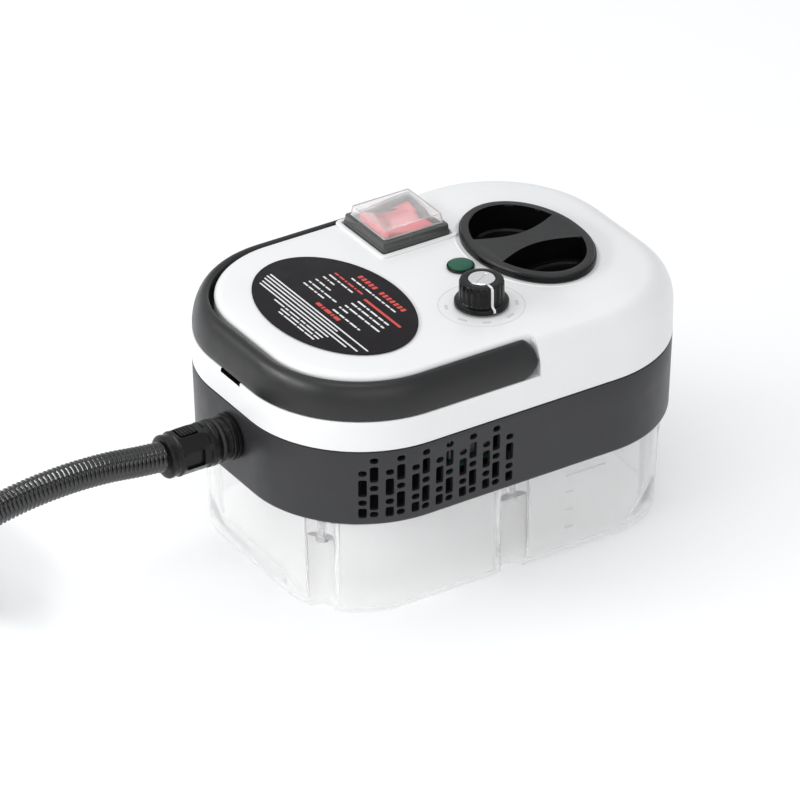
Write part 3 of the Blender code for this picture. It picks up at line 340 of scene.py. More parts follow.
def rounded_rect(x_low, x_high, half_y, r_low, r_high, z, steps=28):
    """Ring of a rounded rectangle, counter-clockwise, with its own radius at each end."""
    ring = []
    bends = [(x_high - r_high, 1, r_high, 0), (x_low + r_low, 1, r_low, 90),
             (x_low + r_low, -1, r_low, 180), (x_high - r_high, -1, r_high, 270)]
    for centre_x, side, radius, start in bends:
        for step in range(steps + 1):
            angle = math.radians(start + 90 * step / steps)
            ring.append((centre_x + radius * math.cos(angle),
                         side * (half_y - radius) + radius * math.sin(angle), z))
    return ring


def small_rect(centre, size, radius, z, steps=6):
    """Ring of a small rounded rectangle about a centre."""
    half_x, half_y = size[0] / 2, size[1] / 2
    ring = rounded_rect(-half_x, half_x, half_y, radius, radius, z, steps)
    return [(x + centre[0], y + centre[1], height) for x, y, height in ring]


def rect_rings(centre, base, rows):
    """Rings of small rounded rectangles from (size, corner radius, height over the base) rows."""
    return [small_rect(centre, size, radius, base + z) for size, radius, z in rows]


def body_ring(inset, z, steps=40):
    radius = CORNER_R - inset
    return rounded_rect(inset - HALF_L, HALF_L - inset, HALF_W - inset, radius, radius, z, steps)


def tank_half(z):
    """Half sizes of the tank, which widens upwards."""
    share = min(max(z / TANK_TOP_Z, 0.0), 1.0)
    return [low + (high - low) * share for low, high in zip(TANK_BASE_HALF, TANK_TOP_HALF)]


def tank_ring(inset, z, steps=24):
    half_x, half_y = tank_half(z)
    radius = TANK_CORNER_R - inset
    return rounded_rect(inset - half_x, half_x - inset, half_y - inset, radius, radius, z, steps)


def oval(half, z, centre=(0.0, 0.0), steps=96):
    angles = [2 * math.pi * step / steps for step in range(steps)]
    return [(centre[0] + half[0] * math.cos(a), centre[1] + half[1] * math.sin(a), z)
            for a in angles]


def grown_ovals(rows, centre=(FILLER_X, 0), steps=96):
    """Ovals from (half sizes, growth, z) rows."""
    return [oval((half[0] + grow, half[1] + grow), z, centre, steps) for half, grow, z in rows]


def skin(bm, rings, closed=False):
    """Join rings with equal counts; an open row is capped, a closed row joins end to start."""
    rows = [[bm.verts.new(point) for point in ring] for ring in rings]
    pairs = list(zip(rows, rows[1:]))
    if closed:
        pairs.append((rows[-1], rows[0]))
    else:
        bm.faces.new(rows[0])
        bm.faces.new(rows[-1])
    for low, high in pairs:
        for i in range(len(low)):
            j = (i + 1) % len(low)
            bm.faces.new((low[i], low[j], high[j], high[i]))
    return bm


def loft(rings, closed=False):
    return skin(bmesh.new(), rings, closed)


def turned(profile, origin=(0, 0, 0), axis=(0, 0, 1), steps=64, closed=False, radial=None):
    """Turn (radius, height) points about an axis; radial, if given, returns each point's radius."""
    rings = []
    for radius, height in profile:
        ring = []
        for step in range(steps):
            angle = 2 * math.pi * step / steps
            r = radial(angle, radius, height) if radial else radius
            ring.append((r * math.cos(angle), r * math.sin(angle), height))
        rings.append(ring)
    bm = loft(rings, closed)
    bm.transform(Matrix.Translation(origin) @ turn_to(axis))
    return bm


def rounded(profile, radius=0.5, steps=4):
    """Round the corners of an open (radius, height) profile, keeping its two ends."""
    points = [Vector(point) for point in profile]
    result = [points[0]]
    for before, corner, after in zip(points, points[1:], points[2:]):
        into, out = corner - before, after - corner
        reach = min(radius, into.length * 0.45, out.length * 0.45)
        start, end = corner - into.normalized() * reach, corner + out.normalized() * reach
        for step in range(steps + 1):
            t = step / steps
            result.append(start * (1 - t) ** 2 + corner * 2 * t * (1 - t) + end * t ** 2)
    result.append(points[-1])
    return [tuple(point) for point in result]


def turned_about(axis, degrees):
    return Matrix.Rotation(math.radians(degrees), 4, axis)


def turn_to(axis):
    """The turn that brings +Z onto an axis."""
    return Vector((0, 0, 1)).rotation_difference(Vector(axis)).to_matrix().to_4x4()


def add_cylinder(bm, start, end, radius, segments=32):
    start, end = Vector(start), Vector(end)
    axis = end - start
    bmesh.ops.create_cone(bm, cap_ends=True, segments=segments, radius1=radius, radius2=radius,
                          depth=axis.length,
                          matrix=Matrix.Translation((start + end) / 2) @ turn_to(axis))


def cylinders(places, radius, segments=32):
    """Cylinders between (start, end) points."""
    bm = bmesh.new()
    for start, end in places:
        add_cylinder(bm, start, end, radius, segments)
    return bm


def uprights(places, low, high, radius, segments=24):
    return cylinders([((x, y, low), (x, y, high)) for x, y in places], radius, segments)


def add_slab(bm, matrix, size, radius, steps=4):
    """A box with rounded upright edges under a matrix, for slots and bars."""
    skin(bm, [[matrix @ Vector(point) for point in small_rect((0, 0), size[:2], radius, z, steps)]
              for z in (-size[2] / 2, size[2] / 2)])


def slab(centre, size, radius):
    bm = bmesh.new()
    add_slab(bm, Matrix.Translation(centre), size, radius)
    return bm


def smooth_route(points, spacing):
    """Points about one spacing apart on a Catmull-Rom curve through the route's own points."""
    points = [Vector(point) for point in points]
    ends = [2 * points[0] - points[1], *points, 2 * points[-1] - points[-2]]
    route = []
    for p0, p1, p2, p3 in zip(ends, ends[1:], ends[2:], ends[3:]):
        count = max(1, round((p2 - p1).length / spacing))
        for step in range(count):
            t = step / count
            route.append(0.5 * (2 * p1 + (p2 - p0) * t + (2 * p0 - 5 * p1 + 4 * p2 - p3) * t ** 2
                                + (3 * p1 - p0 - 3 * p2 + p3) * t ** 3))
    route.append(points[-1])
    return route


# --------------------------------------------------------------------------- camera and light

def make_camera():
    """The photo's viewpoint: a long lens, 33 degrees round from the front and 31 degrees up."""
    right, up = Vector(CAMERA_RIGHT), Vector(CAMERA_UP)
    back = right.cross(up)
    data = bpy.data.cameras.new("camera")
    data.sensor_width = SENSOR_WIDTH
    data.lens = LENS
    data.clip_end = FAR_CLIP_M
    camera = bpy.data.objects.new("camera", data)
    bpy.context.scene.collection.objects.link(camera)
    aim = Vector(CAMERA_TARGET) + right * SHIFT_RIGHT + up * SHIFT_UP
    turn = Matrix((right, up, back)).transposed().to_4x4()
    camera.matrix_world = Matrix.Translation((aim + back * CAMERA_DISTANCE) * MM) @ turn
    bpy.context.scene.camera = camera


def area_light(name, place, target, size, power):
    data = bpy.data.lights.new(name, "AREA")
    data.shape = "RECTANGLE"
    data.size, data.size_y = size
    data.energy = power
    light = bpy.data.objects.new(name, data)
    bpy.context.scene.collection.objects.link(light)
    direction = Vector(target) - Vector(place)
    light.location = place
    light.rotation_mode = "QUATERNION"
    light.rotation_quaternion = direction.to_track_quat("-Z", "Y")


def make_studio():
    world = bpy.data.worlds.new("studio")
    world.use_nodes = True
    background = world.node_tree.nodes["Background"]
    background.inputs["Color"].default_value = (0.96, 0.98, 1.0, 1.0)
    background.inputs["Strength"].default_value = WORLD_STRENGTH
    bpy.context.scene.world = world
    bpy.context.scene.view_settings.view_transform = "Standard"
    area_light("overhead", (-0.1, 0.25, 1.5), (0, 0, 0.05), (2.0, 1.6), 6)
    area_light("front_fill", (-0.6, -1.6, 0.85), (0, 0, 0.03), (1.8, 0.8), 5.4)
    area_light("left_panel", (-1.0, 0.25, 0.55), (-0.15, 0, 0.07), (1.0, 0.16), 6)
    area_light("crisp_strip", (-0.35, -0.35, 1.0), (-0.15, 0, 0.07), (0.9, 0.035), 1.2)
    section = [(PAPER_FRONT_Y, 0.0), (PAPER_BACK_Y, 0.0)]
    for angle_deg in range(10, 91, 10):
        angle = math.radians(angle_deg)
        section.append((PAPER_BACK_Y + PAPER_BEND_R * math.sin(angle),
                        PAPER_BEND_R * (1 - math.cos(angle))))
    section.append((PAPER_BACK_Y + PAPER_BEND_R, PAPER_TOP_Z))
    bm = bmesh.new()
    left, right = ([bm.verts.new((x, y, z)) for y, z in section]
                   for x in (-PAPER_HALF_X, PAPER_HALF_X))
    for i in range(len(section) - 1):
        bm.faces.new((left[i], right[i], right[i + 1], left[i + 1]))
    mesh = bpy.data.meshes.new("floor")
    bmesh.ops.recalc_face_normals(bm, faces=bm.faces)
    bm.to_mesh(mesh)
    bm.free()
    mesh.shade_smooth()
    paper = moulded("paper_floor", (0.80, 0.80, 0.805), 0.75, 0.05, 300, 0.03, 0.05, 0.004,
                    specular=0.15)
    shader = paper.node_tree.nodes["Principled BSDF"]
    shader.inputs["Emission Color"].default_value = (1, 1, 1, 1)
    shader.inputs["Emission Strength"].default_value = LIGHT_TABLE
    mesh.materials.append(paper)
    floor = bpy.data.objects.new("floor", mesh)
    bpy.context.scene.collection.objects.link(floor)


# --------------------------------------------------------------------------- hose

def coil_point(angle_deg, z):
    angle = math.radians(angle_deg)
    return Vector((COIL_CENTRE[0] + COIL_R * math.cos(angle),
                   COIL_CENTRE[1] + COIL_R * math.sin(angle), z))


def ease(share):
    """A soft step from 0 to 1."""
    share = min(max(share, 0.0), 1.0)
    return share * share * (3 - 2 * share)


GRIP_END = coil_point(TAIL_LEAVES_DEG, GUN_Z) + TAIL_HEADING * (TAIL_LENGTH + GAP)


def hose_route():
    """The lead's own points, one and a half turns of the coil going down, and the tail."""
    lead = [(-139.1, 0, 70.7), (-150.0, 0, 71.8), (-165.0, 0, 73.8), (-182.0, 0, 74.6),
            (-200.0, 0, 73.8), (-217.0, 0, 71.4), (-236.0, -0.5, 67.0), (-258.0, -1.9, 59.0),
            (-280.0, -4.1, 48.0), (-302.0, -6.7, 36.5), (-325.0, -9.1, 27.2), (-349.0, -10.6, 21.6)]
    turns = []
    count, run_in = 30, 0.35       # points on the coil, and the part of a step before the first
    for step in range(count + 1):
        t = COIL_TURNS * (step + run_in) / (count + run_in)
        turns.append(coil_point(-90 - 360 * t, 3 * HOSE_R - 2 * HOSE_R * ease((t - 0.60) / 0.20)))
    tail = []
    for along in (14, 28, 40, 50, TAIL_LENGTH):
        rise = (GUN_Z - HOSE_R) * ease((along - 6) / 44)
        tail.append(coil_point(TAIL_LEAVES_DEG, HOSE_R + rise) + TAIL_HEADING * along)
    return smooth_route(lead + turns + tail, ROUTE_SPACING)


def even_steps(points, spacing):
    """The same line with points exactly one spacing apart."""
    result = [points[0]]
    carried = 0.0
    for start, end in zip(points, points[1:]):
        length = (end - start).length
        at = spacing - carried
        while at <= length:
            result.append(start.lerp(end, at / length))
            at += spacing
        carried = (carried + length) % spacing
    return result


def make_hose():
    route = hose_route()
    length = sum((b - a).length for a, b in zip(route, route[1:]))
    points = even_steps(route, RIB_PITCH / len(RIB_DEPTHS))
    rings = []
    for index, point in enumerate(points):
        tangent = (points[min(index + 3, len(points) - 1)] - points[max(index - 3, 0)]).normalized()
        side = tangent.cross(Vector((0, 0, 1))).normalized()
        up = side.cross(tangent)
        ring = []
        for step in range(HOSE_SIDES):
            angle = 2 * math.pi * step / HOSE_SIDES
            radius = HOSE_R - (SEAM_DEPTH if step == SEAM_SIDE
                               else RIB_DEPTHS[index % len(RIB_DEPTHS)])
            ring.append(point + side * (radius * math.cos(angle)) + up * (radius * math.sin(angle)))
        rings.append(ring)
    hose = piece("steam_hose", loft(rings), "hose", "hose", "hose_lead", "hose_coil", "hose_tail")
    hose.data.set_sharp_from_angle(angle=math.radians(80))
    return hose, route, length


# --------------------------------------------------------------------------- tank

def make_tank():
    rings = [tank_ring(TANK_WALL + 1.6, 2.4), tank_ring(TANK_WALL + 0.5, 2.6),
             tank_ring(TANK_WALL, 3.4), tank_ring(TANK_WALL, 20.0),
             tank_ring(TANK_WALL, TANK_TOP_Z - 0.3), tank_ring(TANK_WALL - 0.3, TANK_TOP_Z),
             tank_ring(0.3, TANK_TOP_Z), tank_ring(0, TANK_TOP_Z - 0.3), tank_ring(0, 20.0),
             tank_ring(0, 3.2), tank_ring(0.15, 2.2), tank_ring(0.6, 1.1), tank_ring(1.2, 0.35),
             tank_ring(2.2, 0.0)]
    tank = raw_object("tank_body", loft(rings), MATS["clear"])
    columns = raw_object("columns", uprights(WELLS, 1.2, TANK_TOP_Z - 0.01, WELL_R + TANK_WALL, 40))
    boolean(columns, loft([body_ring(-15, -1, 24), body_ring(-15, 50, 24), tank_ring(0.8, 50),
                           tank_ring(0.8, -1)], closed=True))
    union = tank.modifiers.new("columns", "BOOLEAN")
    union.operation = "UNION"
    union.object = columns
    apply_modifiers(tank)
    bpy.data.objects.remove(columns)
    boolean(tank, uprights(WELLS, -2.0, WELL_TOP_Z, WELL_R, 40),
            uprights(TANK_SCREWS, WELL_TOP_Z - 3, TANK_TOP_Z + 2, TANK_SCREW_HOLE_R))
    belongs(tank, "clear_plastic", "water_tank")

    marks = bmesh.new()
    for z, width in LEVEL_MARKS:
        place = Matrix.Translation((LEVEL_MARK_X + width / 2, -tank_half(z)[1] - 0.02, z))
        add_slab(marks, place @ turned_about("X", 90), (width, 0.7, 0.16), 0.3)
    piece("tank_level_marks", marks, "print_grey", "clear_plastic")


# --------------------------------------------------------------------------- housing

def wall_point(along):
    """Point and outward angle on the front wall, measured from its middle towards the hose."""
    straight = HALF_L - CORNER_R
    if along <= straight:
        return -along, -HALF_W, math.radians(-90)
    angle = math.radians(-90) - (along - straight) / CORNER_R
    return (-straight + CORNER_R * math.cos(angle), CORNER_R - HALF_W + CORNER_R * math.sin(angle),
            angle)


def grille_cutter():
    """Rounded slots and small oval holes through the wall, square to it in each column."""
    bm = bmesh.new()
    along = GRILLE_START
    for column in range(GRILLE_COLUMNS):
        x, y, angle = wall_point(along)
        outward = Vector((math.cos(angle), math.sin(angle), 0))
        for z, height in (GRILLE_SHORT if column % 2 == 0 else GRILLE_TALL):
            centre = Vector((x, y, z)) - outward * 1.2
            turn = Matrix.Rotation(angle, 4, "Z") @ turned_about("Y", 90)
            radius = OVAL_R if height < SLOT_WIDTH else SLOT_R
            add_slab(bm, Matrix.Translation(centre) @ turn, (height, SLOT_WIDTH, 8), radius, 5)
        along += GRILLE_STEPS[column % 2]
    return bm


def make_housing():
    low, high = BAND_Z
    rings = [body_ring(WALL + 0.8, FLOOR_Z), body_ring(WALL, FLOOR_Z + 0.8), body_ring(WALL, 70.0),
             body_ring(WALL, high), body_ring(0.35, high), body_ring(0.1, high - 0.1),
             body_ring(0, high - 0.35), body_ring(0.35, 72.0), body_ring(0.7, 60.0),
             body_ring(0.98, 50.0), body_ring(1.08, low + 0.9), body_ring(1.35, low + 0.3),
             body_ring(2.0, low)]
    housing = raw_object("band_housing", loft(rings), MATS["dark"])
    root_z = (low + FLOOR_Z) / 2
    for places, top_z, radius in ((TANK_SCREWS, 62.0, 4.4), (COVER_SCREWS, high, 5.0),
                                  (HEATER_POSTS, 53.7, 3.0), (BOARD_POSTS, 55.7, 2.4)):
        boolean(housing, uprights(places, root_z, top_z, radius), operation="UNION")
    holes = uprights(TANK_SCREWS, low - 8, FLOOR_Z + 9, TANK_SCREW_HOLE_R)
    recesses = uprights(COVER_SCREWS, low - 8, 78.0, 3.3)
    others = uprights([(FILLER_X, 0)], low - 8, FLOOR_Z + 9, 13.3, 48)
    add_cylinder(others, (*SUCTION_XY, low - 8), (*SUCTION_XY, FLOOR_Z + 9), 3.4)
    add_cylinder(others, (-HALF_L - 5, 0, HOSE_Z), (-HALF_L + 8, 0, HOSE_Z), 9.0, 40)
    add_cylinder(others, (GLAND_X, HALF_W + 5, GLAND_Z), (GLAND_X, HALF_W - 8, GLAND_Z), 7.1, 32)
    boolean(housing, holes, recesses, others, grille_cutter())
    boolean(housing, uprights(COVER_SCREWS, 76.0, 90.0, 1.9))
    belongs(housing, "dark_plastic", "base_housing")


# --------------------------------------------------------------------------- cover

def half_ring(end, inset_side, inset_end, z, radius, steps=28):
    """One end of a ring that is open at the recess's end wall; end is 1 for +X and -1 for -X."""
    half_y = HALF_W - inset_side
    centre_x = HALF_L - inset_end - radius
    ring = [(RECESS_END_X, -half_y, z)]
    for side, start in ((-1, -90), (1, 0)):
        for step in range(steps + 1):
            angle = math.radians(start + 90 * step / steps)
            ring.append((end * (centre_x + radius * math.cos(angle)),
                         side * (half_y - radius) + radius * math.sin(angle), z))
    ring.append((RECESS_END_X, half_y, z))
    return ring if end == 1 else ring[::-1]


def cover_ring(right, left):
    return half_ring(1, *right) + half_ring(-1, *left)


def pin_holes(near, far, radius):
    """Bores for the handle's two pins between two distances from the middle."""
    x, _, z = HANDLE_PIVOT
    return cylinders([((x, side * near, z), (x, side * far, z)) for side in (-1, 1)], radius)


def cover_rows():
    """Outer rows of the cover from its lower edge up: (plain end row, recessed end row) pairs.

    A row is (side inset, end inset, z, corner radius).
    """
    def even(side, z):
        return side, side, z, CORNER_R - side

    def dome(angle_deg):
        angle = math.radians(angle_deg)
        share = 1 - math.cos(angle)
        return (DOME_INSET * share, 15 * share,
                SHOULDER_Z + (DOME_EDGE_Z - SHOULDER_Z) * math.sin(angle), CORNER_R - 9.1 * share)

    def crown(side, z):
        share = (side - DOME_INSET) / 8
        return side, 15 + 9 * share, z, 45.9 - 7.9 * share

    def recess(side, z):
        return side, side + 2.0 * min(side / RECESS_DEPTH, 1.0), z, CORNER_R - side

    pairs = [(even(*point),) * 2 for point in ((0.5, COVER_BOTTOM_Z), (0.0, COVER_BOTTOM_Z + 0.5),
                                               (0, 92.0), (0, 99.0))]
    angles = (1, 3, 7, 12, 18, 25, 33, 41, 50, 59, 68, 78, 90)
    wall = [(0.1, 99.45), (0.35, 99.7), (4.0, 99.7), (7.5, 99.7), (8.15, 99.9),
            (RECESS_DEPTH, 100.4), (RECESS_DEPTH, 105.0), (RECESS_DEPTH, 110.0)]
    for angle_deg in (0, 18, 36, 54, 72):
        angle = math.radians(angle_deg)
        wall.append((RECESS_DEPTH + RECESS_EDGE_R * (1 - math.cos(angle)),
                     RECESS_EDGE_Z + RECESS_EDGE_R * math.sin(angle)))
    pairs += [(dome(angle), recess(*point)) for angle, point in zip(angles, wall)]
    for side, z in ((11.3, 116.9), (13.0, 117.06), (15.0, 117.2), (17.0, 117.38), (19.0, TOP_Z)):
        left = side, side + 1.2 * max(0.0, (15.0 - side) / 3.7), z, CORNER_R - side
        pairs.append((crown(side, z), left))
    return pairs


def make_cover():
    inner = [(20, 27, ROOF_Z, 34), (13.0, 20, 109.5, 40), (13.0, 15, 103.0, 41),
             (13.0, 13.0, 98.0, 42), (WALL, WALL, 95.5, CORNER_R - WALL),
             (WALL, WALL, COVER_BOTTOM_Z, CORNER_R - WALL)]
    rings = [cover_ring((side, end, z, radius),
                        (side, max(side, 13.5) if z > 96 else side, z, radius))
             for side, end, z, radius in inner]
    rings += [cover_ring(*pair) for pair in cover_rows()]
    bm = loft(rings)
    bmesh.ops.remove_doubles(bm, verts=bm.verts, dist=0.0005)
    bmesh.ops.dissolve_degenerate(bm, edges=bm.edges, dist=0.0002)
    cover = raw_object("cover_shell", bm, MATS["white"])
    boolean(cover, uprights(COVER_SCREWS, 85.5, 115.5, 4.2), operation="UNION")
    filler = loft([oval((26.3, 37.2), z, (FILLER_X, 0)) for z in (90, 130)])
    controls = uprights([LAMP_XY], 105, 125, 5.1)
    add_cylinder(controls, (*KNOB_XY, 105), (*KNOB_XY, 125), 3.7)
    switch = slab((*SWITCH_XY, 115), (28.5, 24.5, 30), 0.6)
    deep, wide, tall = NOTCH_SIZE
    notch = slab((-HALF_L, 0, SHOULDER_Z), NOTCH_SIZE, 0.8)
    boolean(cover, filler, controls, switch, notch, pin_holes(57, 66, PIN_HOLE_R),
            pin_holes(52, 60.1, 4.5), uprights(COVER_SCREWS, 80, 99, 1.8))

    # faces inside the notch under the handle's end, which get painted shade
    def notch_painted_shade(centre, normal):
        x, y, z = centre
        within = (x < deep / 2 + 0.6 - HALF_L and abs(y) < wide / 2 + 0.15
                  and SHOULDER_Z - tall / 2 - 0.15 < z < SHOULDER_Z - 0.05)
        return within and not (abs(normal.x) > 0.9 and x < 0.2 - HALF_L)

    # the white notch is painted with the cap's near-black gloss: painted shade under the handle's
    # end
    paint(cover, "pocket", notch_painted_shade)
    belongs(cover, "white_plastic", "top_cover")


def make_cover_details():
    """Raised moulded lines on the cover and the printed dial."""
    rows = [((40.6, 39.6), 2.6, -0.3), ((40.6, 39.6), 2.6, 0.6), ((39.8, 38.8), 2.2, 1.1),
            ((36.8, 35.8), 1.4, 1.1), ((36.2, 35.2), 1.2, 0.8), ((36.2, 35.2), 1.2, -0.3)]
    piece("switch_surround", loft(rect_rings(SWITCH_XY, TOP_Z, rows), closed=True), "white",
          "white_plastic")
    rings = grown_ovals([(CAP_HALF, 1.0, TOP_Z - 0.2), (CAP_HALF, 1.0, TOP_Z + 0.18),
                         (CAP_HALF, 1.3, TOP_Z + 0.3), (CAP_HALF, 2.1, TOP_Z + 0.3),
                         (CAP_HALF, 2.6, TOP_Z - 0.2)])
    piece("filler_ring", loft(rings, closed=True), "white", "white_plastic")
    line = [(19.0, -0.1), (19.0, 0.05), (18.65, 0.05), (18.65, -0.1)]
    dial = turned(line, (*KNOB_XY, TOP_Z), steps=96, closed=True)
    for angle_deg, length in ((-205, 4.0), (-155, 4.5), (-115, 4.0), (-70, 4.5), (-25, 4.0),
                              (25, 4.5)):
        place = (Matrix.Translation((*KNOB_XY, TOP_Z)) @ turned_about("Z", angle_deg)
                 @ Matrix.Translation((DIAL_MARK_R, 0, 0)) @ turned_about("Z", 90))
        add_slab(dial, place, (length, 1.5, 0.12), 0.4)
    piece("dial_print", dial, "print_grey", "white_plastic")


# --------------------------------------------------------------------------- handle

def handle_profile():
    """Section of the handle as (inset, z), from its lower outer edge over the top inwards."""
    points = [(0.9, 100.0), (0.45, 100.15), (0.3, 100.7)]
    for angle_deg in (12, 20, 28, 37, 46, 54, 62, 70, 77):
        angle = math.radians(angle_deg)
        points.append((DOME_INSET * (1 - math.cos(angle)) + 0.1,
                       SHOULDER_Z + (DOME_EDGE_Z - SHOULDER_Z) * math.sin(angle)))
    points += [(6.3, 116.2), (7.0, 116.05), (7.5, 115.6), (HANDLE_INSET, 114.9),
               (HANDLE_INSET, 110.0), (HANDLE_INSET, 104.0), (HANDLE_INSET, 100.7), (7.6, 100.15),
               (7.1, 100.0), (4.0, 100.0)]
    return points


def make_handle():
    """The bow along the body's outline, its section squeezed towards the pivot at its two ends.

    A station is (x, y of the outline, x, y of its inward normal, share of the height kept above and
    below the pivot).
    """
    pivot_x, _, pivot_z = HANDLE_PIVOT
    straight = HALF_L - CORNER_R
    half = [(pivot_x + HANDLE_END_LOW_R, -HALF_W, 0, 1, 0.40, 0.01)]
    for angle_deg in (83, 78, 72, 65, 58, 51, 44, 37, 30, 20, 10, 0):
        angle = math.radians(angle_deg)
        ahead = HANDLE_END_LOW_R * math.sin(angle)
        above = min(1.0, math.sqrt(HANDLE_END_HIGH_R ** 2 - ahead ** 2) / HANDLE_END_LOW_R)
        half.append((pivot_x + ahead, -HALF_W, 0, 1, above, math.cos(angle)))
    half += [(x, -HALF_W, 0, 1, 1.0, 1.0) for x in (-12.0, -30.0)]
    bend_steps = 40
    for step in range(bend_steps + 1):
        angle = math.radians(90 * step / bend_steps)
        half.append((-straight - CORNER_R * math.sin(angle),
                     CORNER_R - HALF_W - CORNER_R * math.cos(angle),
                     math.sin(angle), math.cos(angle), 1.0, 1.0))
    stations = half + [(x, -y, in_x, -in_y, above, below)
                       for x, y, in_x, in_y, above, below in half[::-1]]
    profile = handle_profile()
    rings = [[(x + in_x * inset, y + in_y * inset,
               pivot_z + (z - pivot_z) * (above if z > pivot_z else below)) for inset, z in profile]
             for x, y, in_x, in_y, above, below in stations]
    piece("handle_bow", loft(rings), "handle", "dark_plastic", "carry_handle", body="handle",
          cuts=[pin_holes(60, 68.8, PIN_HOLE_R)])


# --------------------------------------------------------------------------- filler

def pocket_cutter(side):
    """Half-moon beside the grip bar with a filleted floor."""
    arc_steps, bar_steps = 32, 24
    outline = []
    for step in range(arc_steps + 1):
        angle = math.radians(POCKET_START_DEG + (180 - 2 * POCKET_START_DEG) * step / arc_steps)
        outline.append(Vector((POCKET_HALF[0] * math.cos(angle), POCKET_HALF[1] * math.sin(angle))))
    left, right = outline[-1], outline[0]
    for step in range(1, bar_steps):
        share = step / bar_steps
        outline.append(Vector((left.x + (right.x - left.x) * share,
                               left.y - (left.y - BAR_HALF_WIDTH) * math.sin(math.pi * share))))
    middle = Vector((0, 17.0))
    rings = []
    for shrink, z in ((0.80, 108.5), (0.90, 108.7), (0.96, 109.5), (1.0, 111.5), (1.0, 119.8),
                      (1.012, 120.4), (1.012, 130.0)):
        ring = [middle + (point - middle) * shrink for point in outline]
        rings.append([(FILLER_X + p.x, side * p.y, z) for p in ring])
    return loft(rings)


def make_cap():
    """The cap with its pockets and plug, its lip seal, and the funnel that it closes."""
    under, top = 117.9, 121.2
    rows = [(PLUG_HALF, *row) for row in ((-0.8, 106.0), (0, 106.8), (0, 109.2), (-1, 109.2),
                                          (-1, 112.8), (0, 112.8), (0, under))]
    rows += [(CAP_HALF, -0.5, under), (CAP_HALF, 0, under + 0.4)]
    rows += [(CAP_HALF, grow, top + z) for grow, z in ((0, -1.6), (-0.15, -1.15), (-0.5, -0.95),
                                                       (-0.75, -0.9), (-0.9, -0.75), (-1.0, -0.35),
                                                       (-1.2, -0.1), (-1.6, 0), (-4.6, 0),
                                                       (-5.1, -0.1))]
    cap = raw_object("filler_cap_body", loft(grown_ovals(rows)), MATS["cap"])
    boolean(cap, pocket_cutter(1), pocket_cutter(-1))

    def glossy(centre, _):
        """Inside a pocket, or on the rim below its rounded edge."""
        x, y, z = centre.x - FILLER_X, centre.y, centre.z
        in_pocket = math.hypot(x / (POCKET_HALF[0] + 0.3), y / (POCKET_HALF[1] + 0.4)) < 1.0
        on_rim = math.hypot(x / CAP_HALF[0], y / CAP_HALF[1]) > 0.97
        return in_pocket and 108 < z < top - 0.3 or on_rim and under < z < top - 0.7

    paint(cap, "pocket", glossy)
    belongs(cap, "dark_plastic", "filler_cap", body="cap")

    rows = [(LIP_HALF, *row) for row in ((-0.5, 112.5), (-0.35, 112.0), (-0.6, 111.0),
                                         (-0.35, 110.0), (-0.5, 109.5))]
    rows += [(PLUG_HALF, -0.7, 109.5), (PLUG_HALF, -0.7, 112.5)]
    piece("cap_lip_seal", loft(grown_ovals(rows, steps=64), closed=True), "rubber", "rubber",
          "cap_seal", body="cap")

    tube_out, tube_in, mouth = (13.0,) * 2, (11.0,) * 2, (26.0, 36.9)
    rows = [(LIP_HALF, 0, 117.1), (LIP_HALF, 0.3, 117.4)]
    rows += [(mouth, *row) for row in ((-0.3, 117.4), (0, 117.1), (0, 114.2), (1.5, 114.2),
                                       (1.5, 112.5), (0, 112.5), (0, 100))]
    rows += [(tube_out, 0, 82), (tube_out, 0, 47.2), (tube_in, 0, 47.2), (tube_in, 0, 81.0),
             (tube_in, 0.8, 83.0), (LIP_HALF, -1.2, 100.2), (LIP_HALF, 0, 102.0)]
    piece("funnel", loft(grown_ovals(rows), closed=True), "inner", "inner_plastic", "filler_funnel")


# --------------------------------------------------------------------------- controls

def make_switch():
    height = 5.0
    rows = [((34.6, 33.6), 1.4, 0.0), ((35.0, 34.0), 1.6, 0.3), ((35.0, 34.0), 1.6, 1.9),
            ((34.8, 33.8), 1.5, 2.1), ((34.1, 33.1), 1.3, 2.2), ((34.0, 33.0), 1.2, 2.4),
            ((33.8, 32.8), 1.2, 4.5), ((33.5, 32.5), 1.1, 4.9), ((33.0, 32.0), 1.0, height),
            ((28.6, 24.6), 0.7, height), ((27.9, 23.9), 0.6, 4.7), ((27.4, 23.4), 0.5, 3.8),
            ((27.4, 23.4), 0.5, 0.0)]
    frame_top = FACE_Z + height
    piece("switch_frame", loft(rect_rings(SWITCH_XY, FACE_Z, rows), closed=True), "bezel",
          "dark_plastic", "switch_bezel")
    rows = [((29.2, 26.8), 0.9, 4.5), ((29.8, 27.4), 1.1, 4.3), ((30.0, 27.6), 1.2, 3.9),
            ((31.0, 28.5), 1.2, 0.3), ((30.6, 28.1), 1.0, 0.0), ((29.4, 26.9), 0.6, 0.0),
            ((28.6, 26.2), 0.6, 3.5), ((28.2, 25.8), 0.5, 3.8)]
    piece("switch_cover_boot", loft(rect_rings(SWITCH_XY, frame_top + GAP, rows)), "boot",
          "clear_boot", "switch_boot")

    half_x, low_z, steps = 12.4, -2.5, 24
    section = [(-12.0, low_z), (12.0, low_z)]
    for step in range(steps + 1):
        x = half_x - 2 * half_x * step / steps
        rise = 3.5 + 1.5 * (abs(x) / half_x) ** 1.3
        section.append((x, rise - (0.25 if step in (0, steps) else 0.0)))
    tilt = Matrix.Translation((*SWITCH_XY, ROCKER_PIVOT_Z)) @ turned_about("Y", ROCKER_REST_DEG)
    rings = [[tilt @ Vector((x * shrink, y, 1.0 + (z - 1.0) * shrink)) for x, z in section]
             for y, shrink in ((-11.2, 0.985), (-11.0, 1.0), (11.0, 1.0), (11.2, 0.985))]
    rocker = piece("rocker_key", loft(rings), "rocker", "red_rocker", "switch_rocker",
                   body="rocker")
    rocker.data.set_sharp_from_angle(angle=math.radians(24))


